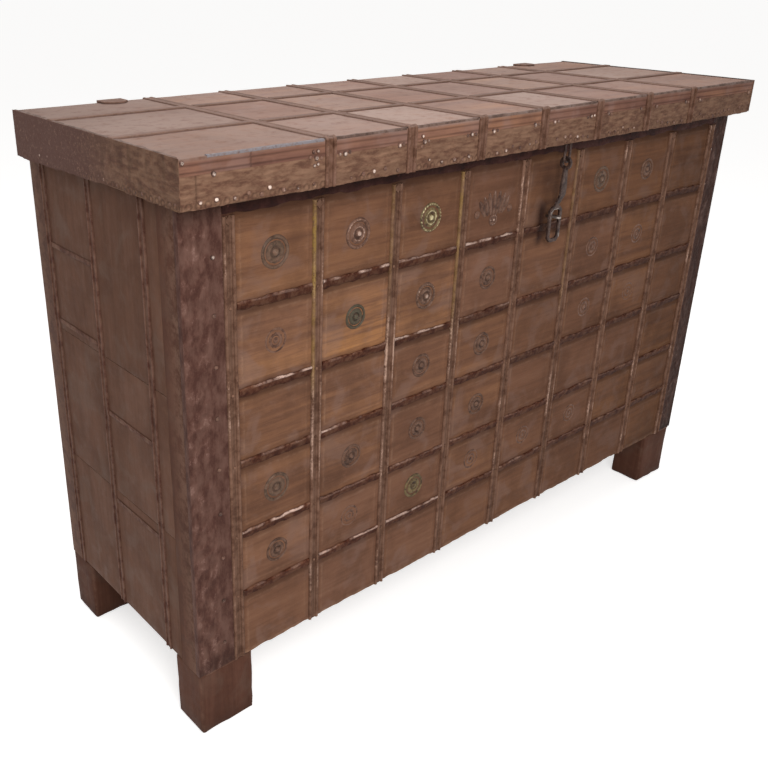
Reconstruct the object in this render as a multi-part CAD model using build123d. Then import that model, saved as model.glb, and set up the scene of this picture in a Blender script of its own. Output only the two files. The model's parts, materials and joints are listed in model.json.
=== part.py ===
"""Iron-bound dowry chest: a boarded wooden coffer on four corner posts, dressed with beaded iron straps.

Frame: X runs along the length, Y from front to back, Z up. The origin is on the floor, in the middle of the
chest's footprint box. All sizes are in millimetres.
"""

import os
from math import cos, pi, radians, sin

from build123d import *

# Overall sizes
body_length = 1446.0
body_depth = 470.0
skirt_line = 131.0  # lower edge of the boarded walls above the floor
lid_board_top = 999.0  # upper face of the lid boards above the floor
lid_depth = 69.0  # upper face of the lid boards down to the lower edge of the lid's rim

# Timber
post_width = 110.0
post_depth = 80.0
post_chamfer = 4.0
wall_board = 24.0
end_lap = 24.0  # how far an end board laps on to a post
floor_board = 20.0
floor_board_count = 7
bearer_side = 32.0
lid_board = 24.0
lid_board_count = 3
lid_side_overhang = 17.0
lid_front_overhang = 36.0
rim_front_gap = 5.0  # between the front boards and the inside of the lid's rim
rim_side_gap = 5.0
rim_chamfer = 2.0
batten_width = 70.0
batten_thickness = 20.0
batten_end_gap = 12.0
batten_count = 3

# Ironwork on the front
left_stile = 80.0  # chest corner to the centre of the first upright strap
right_stile = 61.0
column_count = 8
row_heights = (162.0, 139.0, 124.0, 130.0, 116.0)  # down from the rim line, the last row takes the rest
joint_bands = (4, 2)  # bands whose levels the joints between the wall boards share, upwards
strap_width = 21.0
strap_base = 1.2
strap_bead = 3.0
bead_flat_count = 6  # hammered flats round each bead
band_height = 16.0
band_proud = 5.0
band_lip = 1.8
band_roll = 1.6
sheet = 1.5
strip_height = 70.0  # sheet along the top of the front boards
cover_return = 10.0  # how far the corner sheet turns on to the end of the chest
fit_gap = 0.5  # between neighbouring pieces of trim

# Ironwork on the ends
end_strap_width = 16.0
end_strap_bead = 2.0
end_strap_setback = 51.0  # back corner to the centre of the first strap
end_strap_pitch = 161.0
end_strap_count = 3
end_band_height = 9.0
end_band_thickness = 1.6
end_band_drops = ((1, 148.0), (1, 285.0), (2, 403.0), (2, 576.0))  # column from the back, and rim line down to it

# Rosettes, as radius and height of each ring
rosette_side_count = 12
rosette_radius = 25.0
rosette_edge = 1.2
rosette_rim_radius = 21.0
rosette_rim_height = 3.4
rosette_ring_radius = 13.0
rosette_ring_height = 4.0
rosette_boss_radius = 5.5
rosette_boss_top = 2.2
rosette_boss_height = 5.5
rosette_hollow = 1.8
rosette_drop = 11.5  # the first row's rosettes sit this much below the middle of their row
bright_cells = ((2, 1), (3, 1), (6, 1), (7, 1), (1, 5), (3, 5))
dark_cells = (
    (1, 1),
    (1, 2),
    (2, 2),
    (3, 2),
    (4, 2),
    (6, 2),
    (7, 2),
    (3, 3),
    (4, 3),
    (6, 3),
    (7, 3),
    (1, 4),
    (2, 4),
    (3, 4),
    (4, 4),
    (2, 5),
    (4, 5),
    (5, 5),
    (6, 5),
)

# Lotus plate in the fourth column of the first row
lotus_column = 4
lotus_petals = 7
lotus_spread = 156.0  # degrees between the outer petals
lotus_petal_length = 52.0
lotus_petal_width = 15.0
lotus_petal_shoulder = 38.0  # from the root to the widest place
lotus_petal_height = 2.6
lotus_boss_radius = 11.0
lotus_boss_height = 4.0

# Ironwork on the lid
lid_strap_count = 7
lid_end_cell = 251.0  # end of the lid to the centre of the first strap
lid_strap_width = 20.0
lid_band_width = 15.0
lid_band_height = 2.6
lid_band_bevel = 1.8
lid_band_setbacks = (135.0, 328.0)  # back edge of the lid to the centre of each long band
edge_sheet = 2.0

# Hinges: strap leaves joined by a loose pin
hinge_width = 46.0
hinge_strap_gap = 43.0  # between an outer lid strap and the hinge beyond it
hinge_middle = 16.0  # length of the lid leaf's knuckle
leaf_thickness = 3.0
leaf_corner = 12.0  # cut off each corner at the end of a leaf
body_leaf_length = 190.0
lid_leaf_reach = 36.0  # along the top of the lid
knuckle_radius = 7.0
knuckle_gap = 0.5
pin_radius = 3.0
pin_clearance = 0.05
pin_head_radius = 4.6
pin_head_length = 2.5
pin_head_side_count = 8

# Hasp, the staple that carries it and the staple that it closes over
hasp_column = 5
hasp_axis_out = 27.0  # front boards to the swing axis
hasp_axis_drop = 37.0  # rim line down to the swing axis, which is the middle of the eye
hasp_thickness = 5.0
hasp_neck_width = 9.0
hasp_arm_width = 16.0
hasp_crank = 11.0  # how far the loop is set back from the arm
hasp_crank_height = 24.0
eye_radius = 12.5
eye_hole_radius = 6.0
loop_width = 37.0
loop_height = 69.0
loop_rod = 6.5
loop_corner = 5.0  # cut across each corner of the loop's hole
link_play = 0.35
bar_side_count = 8  # flats round a forged bar
bend_flat_count = 6  # flats round the bend of a staple
hasp_staple_rod = 2.5
hasp_staple_bend = 7.5
catch_rod = 2.25
catch_bend = 5.0
catch_out = 29.5  # front boards to the tip of the catch staple
catch_headroom = 12.0  # between the catch staple and the top of the loop's hole
catch_rise = 22.0  # middle of the first band up to the catch staple
staple_embed = 16.0
staple_play = 0.3

# Levels and faces that follow
body_top = lid_board_top - lid_board
rim_line = lid_board_top - lid_depth
strip_line = body_top - strip_height
strap_height = strap_base + strap_bead
hinge_axis_out = knuckle_radius + knuckle_gap
front_reach = body_depth / 2 + lid_front_overhang + strap_height
back_reach = body_depth / 2 + hinge_axis_out + knuckle_radius
body_middle = (front_reach - back_reach) / 2
front_face = body_middle - body_depth / 2
back_face = body_middle + body_depth / 2
end_face = body_length / 2
lid_end = end_face + lid_side_overhang
lid_front = front_face - lid_front_overhang
strap_start = left_stile - end_face
strap_finish = end_face - right_stile
column_pitch = (strap_finish - strap_start) / column_count
strap_places = [strap_start + column_pitch * number for number in range(column_count + 1)]
band_levels = [rim_line - sum(row_heights[: number + 1]) for number in range(len(row_heights))]
wall_joints = [skirt_line] + [band_levels[number - 1] for number in joint_bands] + [body_top]
wall_rows = list(zip(wall_joints, wall_joints[1:]))
lid_strap_pitch = 2 * (lid_end - lid_end_cell) / (lid_strap_count - 1)
lid_strap_places = [lid_end_cell - lid_end + lid_strap_pitch * number for number in range(lid_strap_count)]
hinge_offset = lid_end - lid_end_cell + lid_strap_width / 2 + hinge_strap_gap + hinge_width / 2
hinge_places = (-hinge_offset, hinge_offset)
hinge_axis_y = back_face + hinge_axis_out
hasp_x = strap_start + column_pitch * (hasp_column - 0.5)
hasp_axis_y = front_face - hasp_axis_out
hasp_axis_z = rim_line - hasp_axis_drop
catch_z = band_levels[0] + catch_rise


def block(x_limits, y_limits, z_limits):
    """Box between two limits along each axis."""
    centre = [(low + high) / 2 for low, high in (x_limits, y_limits, z_limits)]
    size = [high - low for low, high in (x_limits, y_limits, z_limits)]
    return Pos(*centre) * Box(*size)


def rod_x(x_limits, y, z, radius):
    """Round bar along X."""
    length = x_limits[1] - x_limits[0]
    return Pos((x_limits[0] + x_limits[1]) / 2, y, z) * Rot(0, 90, 0) * Cylinder(radius, length)


def spans(low, high, count):
    """Limits of equal pieces that fill a length."""
    step = (high - low) / count
    return [(low + step * number, low + step * (number + 1)) for number in range(count)]


def between(places, half_width, low, high):
    """Limits of the clear lengths left between straps, from one end to the other."""
    starts = [low] + [place + half_width + fit_gap for place in places]
    finishes = [place - half_width - fit_gap for place in places] + [high]
    return list(zip(starts, finishes))


# Timber carcass


def post(side_x, side_y, stile):
    """Corner post that runs down as the foot, rebated for the long boards and the end boards."""
    outer_x = side_x * end_face
    inner_x = side_x * (end_face - post_width)
    outer_y = body_middle + side_y * body_depth / 2
    inner_y = outer_y - side_y * post_depth
    solid = block(sorted((outer_x, inner_x)), sorted((outer_y, inner_y)), (0, body_top))
    foot_edges = solid.edges().group_by(Axis.Z)[0]
    solid = chamfer(foot_edges, post_chamfer)
    long_rebate = block(
        sorted((inner_x, side_x * (end_face - stile))),
        sorted((outer_y, outer_y - side_y * wall_board)),
        (skirt_line, body_top),
    )
    end_rebate = block(
        sorted((outer_x, outer_x - side_x * wall_board)),
        sorted((inner_y, inner_y + side_y * end_lap)),
        (skirt_line, body_top),
    )
    return solid - long_rebate - end_rebate


def long_boards(outer, inward):
    """Boards of the front or back wall, lapped over the posts."""
    y_limits = sorted((outer, outer + inward * wall_board))
    return [block((strap_start, strap_finish), y_limits, row) for row in wall_rows]


def end_boards(side_x):
    """Boards of one end wall."""
    half = body_depth / 2 - post_depth + end_lap
    x_limits = sorted((side_x * end_face, side_x * (end_face - wall_board)))
    return [block(x_limits, (body_middle - half, body_middle + half), row) for row in wall_rows]


def floor_bearers():
    """Ledgers along the foot of the walls, which carry the floor boards."""
    level = (skirt_line, skirt_line + bearer_side)
    between_posts = end_face - post_width
    inner_front = front_face + wall_board
    inner_back = back_face - wall_board
    inner_end = end_face - wall_board
    reach = body_depth / 2 - post_depth
    run = (-between_posts, between_posts)
    cross = (body_middle - reach, body_middle + reach)
    return [
        block(run, (inner_front, inner_front + bearer_side), level),
        block(run, (inner_back - bearer_side, inner_back), level),
        block((-inner_end, bearer_side - inner_end), cross, level),
        block((inner_end - bearer_side, inner_end), cross, level),
    ]


def floor_boards():
    """Boards across the chest, with a short one between the posts at each end."""
    level = (skirt_line + bearer_side, skirt_line + bearer_side + floor_board)
    between_posts = end_face - post_width
    inner_end = end_face - wall_board
    reach = body_depth / 2 - post_depth
    across = (front_face + wall_board, back_face - wall_board)
    cross = (body_middle - reach, body_middle + reach)
    boards = [block(run, across, level) for run in spans(-between_posts, between_posts, floor_board_count)]
    boards.append(block((-inner_end, -between_posts), cross, level))
    boards.append(block((between_posts, inner_end), cross, level))
    return boards


# Timber lid


def lid_boards():
    """Long boards of the lid, which lie on the tops of the walls."""
    rows = spans(lid_front, back_face, lid_board_count)
    return [block((-lid_end, lid_end), row, (body_top, lid_board_top)) for row in rows]


def rim_front():
    """Rail under the front edge of the lid, in front of the chest."""
    rail = block((-lid_end, lid_end), (lid_front, front_face - rim_front_gap), (rim_line, body_top))
    lower_edges = rail.edges().filter_by(Axis.X).group_by(Axis.Z)[0]
    return chamfer(lower_edges, rim_chamfer)


def rim_side(side_x):
    """Rail under one end of the lid."""
    x_limits = sorted((side_x * lid_end, side_x * (end_face + rim_side_gap)))
    rail = block(x_limits, (front_face - rim_front_gap, back_face), (rim_line, body_top))
    lower_edges = rail.edges().filter_by(Axis.Y).group_by(Axis.Z)[0]
    return chamfer(lower_edges, rim_chamfer)


def lid_battens():
    """Cross battens under the lid boards, which hang inside the walls."""
    reach = body_depth / 2 - wall_board - batten_end_gap
    spread = body_length - 2 * post_width
    pieces = []
    for number in range(batten_count):
        x = (number + 0.5) / batten_count * spread - spread / 2
        run = (x - batten_width / 2, x + batten_width / 2)
        level = (body_top - batten_thickness, body_top)
        pieces.append(block(run, (body_middle - reach, body_middle + reach), level))
    return pieces


# Straps, bands and sheets


def beaded_section(width, base, bead):
    """Flat strip with a half-round bead along each edge. Local X is across, local Y is outwards."""
    upper = [(width / 2, 0)]
    for side in (1, -1):
        for number in range(bead_flat_count + 1):
            turn = radians(180 * number / bead_flat_count)
            upper.append((side * (width / 2 - bead) + bead * cos(turn), base + bead * sin(turn)))
    upper.append((-width / 2, 0))
    return make_face(Polyline(*upper, close=True))


def front_strap(x):
    """Upright beaded strap on the front boards."""
    bar = extrude(beaded_section(strap_width, strap_base, strap_bead), strip_line - fit_gap - skirt_line)
    return Pos(x, front_face, skirt_line) * Rot(0, 0, 180) * bar


def band_section():
    """Ledge with a rolled upper edge and a face that leans back. Local X is outwards, local Y is up."""
    half = band_height / 2
    outline = Polyline(
        (0, -half),
        (band_lip, -half),
        (band_proud, half - band_roll),
        (band_proud - band_roll, half),
        (0, half),
        close=True,
    )
    return make_face(outline)


def front_band(level):
    """Pieces of one level band, each between two upright straps."""
    pieces = []
    for low, high in between(strap_places, strap_width / 2, strap_start, strap_finish)[1:-1]:
        plane = Plane((high, front_face, level), x_dir=(0, -1, 0), z_dir=(-1, 0, 0))
        piece = extrude(plane * band_section(), high - low)
        pieces.append(piece - catch_holes())
    return pieces


def stile_cover(side_x, stile):
    """Sheet on a front corner post, turned round the corner on to the end."""
    corner = side_x * end_face
    outside = corner + side_x * sheet
    inner = side_x * (end_face - stile + strap_width / 2 + fit_gap)
    face = block(sorted((outside, inner)), (front_face - sheet, front_face), (skirt_line, body_top))
    turned = block(sorted((corner, outside)), (front_face, front_face + cover_return), (skirt_line, body_top))
    return face + turned


def top_strip():
    """Sheet along the top of the front boards, above the straps."""
    run = (strap_start - strap_width / 2, strap_finish + strap_width / 2)
    return block(run, (front_face - sheet, front_face), (strip_line, body_top))


def end_straps(side_x):
    """Upright beaded straps on one end of the chest."""
    section = beaded_section(end_strap_width, strap_base, end_strap_bead)
    bar = extrude(section, rim_line - fit_gap - skirt_line)
    straps = []
    for number in range(end_strap_count):
        y = back_face - end_strap_setback - number * end_strap_pitch
        straps.append(Pos(side_x * end_face, y, skirt_line) * Rot(0, 0, -90 * side_x) * bar)
    return straps


def end_bands(side_x):
    """Thin level bands between the straps of one end."""
    pieces = []
    for column, drop in end_band_drops:
        start = back_face - end_strap_setback - (column - 1) * end_strap_pitch - end_strap_width / 2 - fit_gap
        finish = start - end_strap_pitch + end_strap_width + 2 * fit_gap
        middle = rim_line - drop
        x_limits = sorted((side_x * end_face, side_x * (end_face + end_band_thickness)))
        level = (middle - end_band_height / 2, middle + end_band_height / 2)
        pieces.append(block(x_limits, (finish, start), level))
    return pieces


def lid_strap(x):
    """Beaded strap over the top of the lid and down its front edge."""
    path = Polyline((x, back_face, lid_board_top), (x, lid_front, lid_board_top), (x, lid_front, rim_line))
    start = Plane((x, back_face, lid_board_top), x_dir=(1, 0, 0), z_dir=(0, -1, 0))
    section = start * beaded_section(lid_strap_width, strap_base, strap_bead)
    return sweep(section, path=path, transition=Transition.RIGHT)


def lid_bands():
    """Long flat bands on the top of the lid, in pieces between the straps."""
    half = lid_band_width / 2
    outline = Polyline(
        (-half, 0),
        (half, 0),
        (half - lid_band_bevel, lid_band_height),
        (lid_band_bevel - half, lid_band_height),
        close=True,
    )
    section = make_face(outline)
    pieces = []
    for setback in lid_band_setbacks:
        for low, high in between(lid_strap_places, lid_strap_width / 2, -lid_end, lid_end):
            plane = Plane((low, back_face - setback, lid_board_top), x_dir=(0, 1, 0), z_dir=(1, 0, 0))
            pieces.append(extrude(plane * section, high - low))
    return pieces


def lid_edge_front():
    """Sheets on the front of the rim, between the straps."""
    runs = between(lid_strap_places, lid_strap_width / 2, -lid_end, lid_end)
    return [block(run, (lid_front - edge_sheet, lid_front), (rim_line, body_top)) for run in runs]


def lid_edge_side(side_x):
    """Sheet on one end of the lid."""
    x_limits = sorted((side_x * lid_end, side_x * (lid_end + edge_sheet)))
    return block(x_limits, (lid_front - edge_sheet, back_face), (rim_line, lid_board_top))


# Ornaments


def cell_centre(column, row):
    """Middle of a panel on the front, as x and z."""
    levels = [rim_line] + band_levels
    drop = rosette_drop if row == 1 else 0
    x = strap_start + column_pitch * (column - 0.5)
    return x, (levels[row - 1] + levels[row]) / 2 - drop


def frustum(low, high):
    """Tapered block between two many-sided outlines, each given as a radius and a height."""
    ends = [Pos(0, 0, height) * RegularPolygon(radius, rosette_side_count) for radius, height in (low, high)]
    return loft(ends)


def rosette():
    """Embossed disc: a thin edge, a raised rim, a ring and a boss, with hollows between. The axis is Z."""
    stations = (
        (rosette_radius, 0),
        (rosette_radius, rosette_edge),
        (rosette_rim_radius, rosette_rim_height),
        ((rosette_rim_radius + rosette_ring_radius) / 2, rosette_hollow),
        (rosette_ring_radius, rosette_ring_height),
        (rosette_boss_radius, rosette_hollow),
        (rosette_boss_top, rosette_boss_height),
    )
    disc = frustum(stations[0], stations[1])
    for start, finish in zip(stations[1:], stations[2:]):
        rises = finish[1] > start[1]
        disc = disc + frustum(start, finish) if rises else disc - frustum(finish, start)
    return disc


def rosettes(cells):
    """Rosettes on the front boards, one in each named cell."""
    disc = Rot(90, 0, 0) * rosette()
    discs = []
    for column, row in cells:
        x, z = cell_centre(column, row)
        discs.append(Pos(x, front_face, z) * disc)
    return discs


def lotus_plate():
    """Low fan of petals that spring from a boss."""
    x, z = cell_centre(lotus_column, 1)
    step = lotus_spread / (lotus_petals - 1)
    half = lotus_petal_width / 2
    outline = Polyline(
        (0, 0),
        (half, lotus_petal_shoulder),
        (half / 2, (lotus_petal_shoulder + lotus_petal_length) / 2),
        (0, lotus_petal_length),
        (-half / 2, (lotus_petal_shoulder + lotus_petal_length) / 2),
        (-half, lotus_petal_shoulder),
        close=True,
    )
    petal = make_face(outline)
    fan = Sketch() + [Rot(0, 0, step * number - lotus_spread / 2) * petal for number in range(lotus_petals)]
    plate = extrude(fan, lotus_petal_height)
    boss = extrude(RegularPolygon(lotus_boss_radius, rosette_side_count), lotus_boss_height)
    return Pos(x, front_face, z - lotus_petal_length / 2) * Rot(90, 0, 0) * (plate + boss)


# Hinges


def hinge_body_leaf(x):
    """Strap on the back boards, with a knuckle at each end of the joint."""
    run = (x - hinge_width / 2, x + hinge_width / 2)
    gap_run = (x - hinge_middle / 2 - knuckle_gap, x + hinge_middle / 2 + knuckle_gap)
    reach = knuckle_radius + knuckle_gap
    strap = block(run, (back_face, back_face + leaf_thickness), (body_top - body_leaf_length, body_top))
    lower_corners = strap.edges().filter_by(Axis.Y).group_by(Axis.Z)[0]
    strap = chamfer(lower_corners, leaf_corner)
    barrel = rod_x(run, hinge_axis_y, body_top, knuckle_radius)
    notch = block(gap_run, (back_face, hinge_axis_y + reach), (body_top - reach, body_top + reach))
    return strap + barrel - notch - rod_x(run, hinge_axis_y, body_top, pin_radius + pin_clearance)


def hinge_lid_leaf(x):
    """Strap over the back edge of the lid, with the middle knuckle."""
    run = (x - hinge_width / 2, x + hinge_width / 2)
    middle_run = (x - hinge_middle / 2, x + hinge_middle / 2)
    reach = knuckle_radius + knuckle_gap
    behind = (back_face, back_face + leaf_thickness)
    top = (lid_board_top, lid_board_top + leaf_thickness)
    upright = block(run, behind, (body_top, top[1]))
    strap = block(run, (back_face - lid_leaf_reach, behind[1]), top)
    front_corners = strap.edges().filter_by(Axis.Z).group_by(Axis.Y)[0]
    strap = chamfer(front_corners, leaf_corner)
    barrel = rod_x(middle_run, hinge_axis_y, body_top, knuckle_radius)
    left_notch = block((run[0], middle_run[0]), behind, (body_top, body_top + reach))
    right_notch = block((middle_run[1], run[1]), behind, (body_top, body_top + reach))
    leaf = upright + strap - left_notch - right_notch + barrel
    return leaf - rod_x(run, hinge_axis_y, body_top, pin_radius + pin_clearance)


def hinge_pin(x):
    """Pin with a hammered head at each end."""
    half = hinge_width / 2
    shank = rod_x((x - half, x + half), hinge_axis_y, body_top, pin_radius)
    head = extrude(Plane.YZ * RegularPolygon(pin_head_radius, pin_head_side_count), pin_head_length)
    left_head = Pos(x - half - pin_head_length, hinge_axis_y, body_top) * head
    right_head = Pos(x + half, hinge_axis_y, body_top) * head
    return shank + left_head + right_head


# Hasp and staples


def staple(rod, bend, length):
    """Forged bar bent to a U. The legs run up along Z from the bend, and the bend's lowest centre is the origin."""
    corner = bend / cos(pi / (2 * bend_flat_count))
    points = [(-bend, 0, length)]
    for number in range(bend_flat_count):
        turn = pi * (number + 0.5) / bend_flat_count
        points.append((-corner * cos(turn), 0, bend - corner * sin(turn)))
    points.append((bend, 0, length))
    start = Plane(points[0], z_dir=(0, 0, -1))
    return sweep(start * RegularPolygon(rod, bar_side_count), path=Polyline(*points), transition=Transition.RIGHT)


def leg_holes(rod, bend, low, high):
    """Drilled holes for the legs of a staple, in the staple's own frame."""
    hole = Pos(0, 0, (low + high) / 2) * Cylinder(rod + staple_play, high - low)
    return [Pos(side * bend, 0, 0) * hole for side in (-1, 1)]


def hasp_staple_frame():
    """Place of the staple under the lid's rim, with its bend above the middle of the hasp's eye."""
    return Pos(hasp_x, hasp_axis_y, hasp_axis_z + bend_room())


def catch_frame():
    """Place of the catch staple, with its legs running back into the front boards."""
    return Pos(hasp_x, front_face - catch_out + catch_rod, catch_z) * Rot(-90, 0, 0)


def catch_holes():
    """Drilled holes for the catch staple's legs."""
    high = catch_out - catch_rod + staple_embed
    return [catch_frame() * hole for hole in leg_holes(catch_rod, catch_bend, catch_bend, high)]


def loop_outline(width, height, corner):
    """Upright oblong with its corners cut across, with its top at the origin."""
    half = width / 2
    outline = Polyline(
        (corner - half, 0),
        (half - corner, 0),
        (half, -corner),
        (half, corner - height),
        (half - corner, -height),
        (corner - half, -height),
        (-half, corner - height),
        (-half, -corner),
        close=True,
    )
    return make_face(outline)


def hasp():
    """Cranked bar with an eye at the top and a closed loop at the bottom. The swing axis runs through the eye."""
    half = hasp_thickness / 2
    hole_top = catch_z + catch_rod + catch_headroom - hasp_axis_z
    loop_top = hole_top + loop_rod
    loop_bottom = loop_top - loop_height
    arm_top = hasp_thickness - eye_radius
    side = Polyline(
        (half, arm_top),
        (half, loop_top + hasp_crank_height),
        (half + hasp_crank, loop_top),
        (half + hasp_crank, loop_bottom),
        (hasp_crank - half, loop_bottom),
        (hasp_crank - half, loop_top),
        (-half, loop_top + hasp_crank_height),
        (-half, arm_top),
        close=True,
    )
    ribbon = extrude(Plane.YZ * make_face(side), loop_width / 2, both=True)
    arm_middle = (arm_top + loop_top) / 2
    arm = Polyline(
        (-hasp_neck_width / 2, arm_top),
        (hasp_neck_width / 2, arm_top),
        (hasp_arm_width / 2, arm_middle),
        (hasp_neck_width / 2, loop_top - loop_rod),
        (-hasp_neck_width / 2, loop_top - loop_rod),
        (-hasp_arm_width / 2, arm_middle),
        close=True,
    )
    outline = make_face(arm) + Pos(0, loop_top) * loop_outline(loop_width, loop_height, loop_corner + loop_rod / 2)
    outline -= Pos(0, hole_top) * loop_outline(loop_width - 2 * loop_rod, loop_height - 2 * loop_rod, loop_corner)
    plate = extrude(Plane.XZ * outline, hasp_crank + hasp_thickness, both=True)
    eye = rod_x((-half, half), 0, 0, eye_radius)
    solid = (ribbon & plate) + eye - rod_x((-half, half), 0, 0, eye_hole_radius)
    return Pos(hasp_x, hasp_axis_y, hasp_axis_z) * solid


def bend_room():
    """Rise of the staple's bend above the middle of the eye, which leaves the eye hanging with its play."""
    inner = hasp_staple_bend - hasp_staple_rod
    half = hasp_thickness / 2
    crown = hasp_staple_bend - (inner**2 - half**2) ** 0.5
    return eye_hole_radius - crown - link_play


def hasp_staple():
    """Staple under the lid's rim, driven up into the rail."""
    bar = staple(hasp_staple_rod, hasp_staple_bend, hasp_axis_drop - bend_room() + staple_embed)
    return hasp_staple_frame() * bar


def catch_staple():
    """Staple on the front that the hasp's loop drops over."""
    bar = staple(catch_rod, catch_bend, catch_out - catch_rod + staple_embed)
    return catch_frame() * bar


def hasp_staple_holes():
    """Drilled holes for the hasp staple's legs."""
    high = hasp_axis_drop - bend_room() + staple_embed
    holes = leg_holes(hasp_staple_rod, hasp_staple_bend, hasp_staple_bend, high)
    return [hasp_staple_frame() * hole for hole in holes]


# Assembly: one entry for each node


def chest():
    """Every piece of the chest by its node name."""
    drilled_boards = [board - catch_holes() for board in long_boards(front_face, 1)]
    nodes = {
        "post_front_left": post(-1, -1, left_stile),
        "post_front_right": post(1, -1, right_stile),
        "post_back_left": post(-1, 1, left_stile),
        "post_back_right": post(1, 1, right_stile),
        "front_boards": Compound(drilled_boards),
        "back_boards": Compound(long_boards(back_face, -1)),
        "left_boards": Compound(end_boards(-1)),
        "right_boards": Compound(end_boards(1)),
        "floor_bearers": Compound(floor_bearers()),
        "floor_boards": Compound(floor_boards()),
        "stile_cover_left": stile_cover(-1, left_stile),
        "stile_cover_right": stile_cover(1, right_stile),
        "top_strip": top_strip(),
        "end_straps_left": Compound(end_straps(-1)),
        "end_straps_right": Compound(end_straps(1)),
        "end_bands_left": Compound(end_bands(-1)),
        "end_bands_right": Compound(end_bands(1)),
        "rosettes_brass": Compound(rosettes(bright_cells)),
        "rosettes_dark": Compound(rosettes(dark_cells)),
        "lotus_plate": lotus_plate(),
        "catch_staple": catch_staple(),
        "lid_boards": Compound(lid_boards()),
        "lid_battens": Compound(lid_battens()),
        "lid_rim_front": rim_front() - hasp_staple_holes(),
        "lid_rim_left": rim_side(-1),
        "lid_rim_right": rim_side(1),
        "lid_bands": Compound(lid_bands()),
        "lid_edge_front": Compound(lid_edge_front()),
        "lid_edge_left": lid_edge_side(-1),
        "lid_edge_right": lid_edge_side(1),
        "hasp_staple": hasp_staple(),
        "hasp": hasp(),
    }
    for number, x in enumerate(strap_places, 1):
        nodes[f"front_strap_{number}"] = front_strap(x)
    for number, level in enumerate(band_levels, 1):
        nodes[f"front_band_{number}"] = Compound(front_band(level))
    for number, x in enumerate(lid_strap_places, 1):
        nodes[f"lid_strap_{number}"] = lid_strap(x)
    for number, x in enumerate(hinge_places, 1):
        nodes[f"hinge_body_leaf_{number}"] = hinge_body_leaf(x)
        nodes[f"hinge_lid_leaf_{number}"] = hinge_lid_leaf(x)
        nodes[f"hinge_pin_{number}"] = hinge_pin(x)
    return nodes


os.makedirs("parts", exist_ok=True)
for node_name, shape in chest().items():
    export_step(shape, f"parts/{node_name}.step")
print("hinge axis y z", hinge_axis_y, body_top)
print("hasp axis x y z", hasp_x, hasp_axis_y, hasp_axis_z)
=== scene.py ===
"""Dressed model of an iron-bound dowry chest.

The chest is a boarded wooden coffer on four corner posts. Beaded iron straps and ledge bands part its front
into panels, embossed rosettes sit in the panels, sheets cover the front posts and the lid's rim, and a forged
hasp hangs from the rim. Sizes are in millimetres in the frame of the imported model, and meshes are made in
metres.
"""

import json
import logging
import math
from dataclasses import dataclass, field
from enum import Enum
from typing import Iterable, Optional, Sequence

import bpy
import numpy as np
from mathutils import Matrix, Vector

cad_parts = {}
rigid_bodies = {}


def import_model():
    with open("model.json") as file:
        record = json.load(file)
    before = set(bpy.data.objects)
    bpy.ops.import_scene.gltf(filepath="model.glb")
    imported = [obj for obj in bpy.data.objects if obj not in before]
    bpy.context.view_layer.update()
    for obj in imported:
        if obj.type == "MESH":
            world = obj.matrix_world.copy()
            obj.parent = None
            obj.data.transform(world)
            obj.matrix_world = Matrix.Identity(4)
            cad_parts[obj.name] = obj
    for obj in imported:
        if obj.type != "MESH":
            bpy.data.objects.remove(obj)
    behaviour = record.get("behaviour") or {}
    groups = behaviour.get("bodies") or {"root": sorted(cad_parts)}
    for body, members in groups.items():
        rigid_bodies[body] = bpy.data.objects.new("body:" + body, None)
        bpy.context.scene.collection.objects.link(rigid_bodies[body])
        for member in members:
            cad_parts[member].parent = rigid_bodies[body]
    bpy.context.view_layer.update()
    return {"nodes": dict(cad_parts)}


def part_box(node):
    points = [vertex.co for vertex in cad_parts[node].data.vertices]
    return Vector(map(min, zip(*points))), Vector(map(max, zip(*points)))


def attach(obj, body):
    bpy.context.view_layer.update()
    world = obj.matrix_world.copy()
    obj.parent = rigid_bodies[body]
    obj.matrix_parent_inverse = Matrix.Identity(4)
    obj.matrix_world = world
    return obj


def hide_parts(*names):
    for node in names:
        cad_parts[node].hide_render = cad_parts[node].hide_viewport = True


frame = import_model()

LOG = logging.getLogger("chest")
MM = 0.001
FOOT = 2.0  # how far a bar's feet go below the surface, in millimetres
VALUES = ("worn", "deep", "tone", "warm", "dust", "seed")

Material = bpy.types.Material
Place = Sequence[float]
Limits = tuple[float, float]
Faces = list[tuple[int, ...]]
Value = float | np.ndarray | Sequence[float]


class Body(Enum):
    """Bodies that a piece can ride on."""

    CARCASS = "carcass"
    LID = "lid"
    HASP = "hasp"


class Slot(Enum):
    """Material slots of the record."""

    WOOD = "aged_wood"
    IRON = "wrought_iron"
    SHEET = "iron_sheet"
    BRASS = "brass"
    DULL = "dull_brass"


class Grain(Enum):
    """Axis along which the grain of a board runs."""

    LEVEL = 0
    UPRIGHT = 2


class Side(Enum):
    """Ends of the chest."""

    LEFT = "left"
    RIGHT = "right"

    @property
    def way(self) -> float:
        """Which way along X leads out of this end."""
        return -1.0 if self is Side.LEFT else 1.0

    def split(self, low: np.ndarray, high: np.ndarray) -> Limits:
        """Outer and inner X of a box at this end."""
        return (low[0], high[0]) if self is Side.LEFT else (high[0], low[0])


# Noise, meshes and the shapes that pieces are made of

LATTICE = np.random.default_rng(41).random(65536)
PRIMES = np.array([73856093, 19349663, 83492791])  # spread neighbouring cells over the lattice
SEED_PRIME = 2654435761


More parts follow.
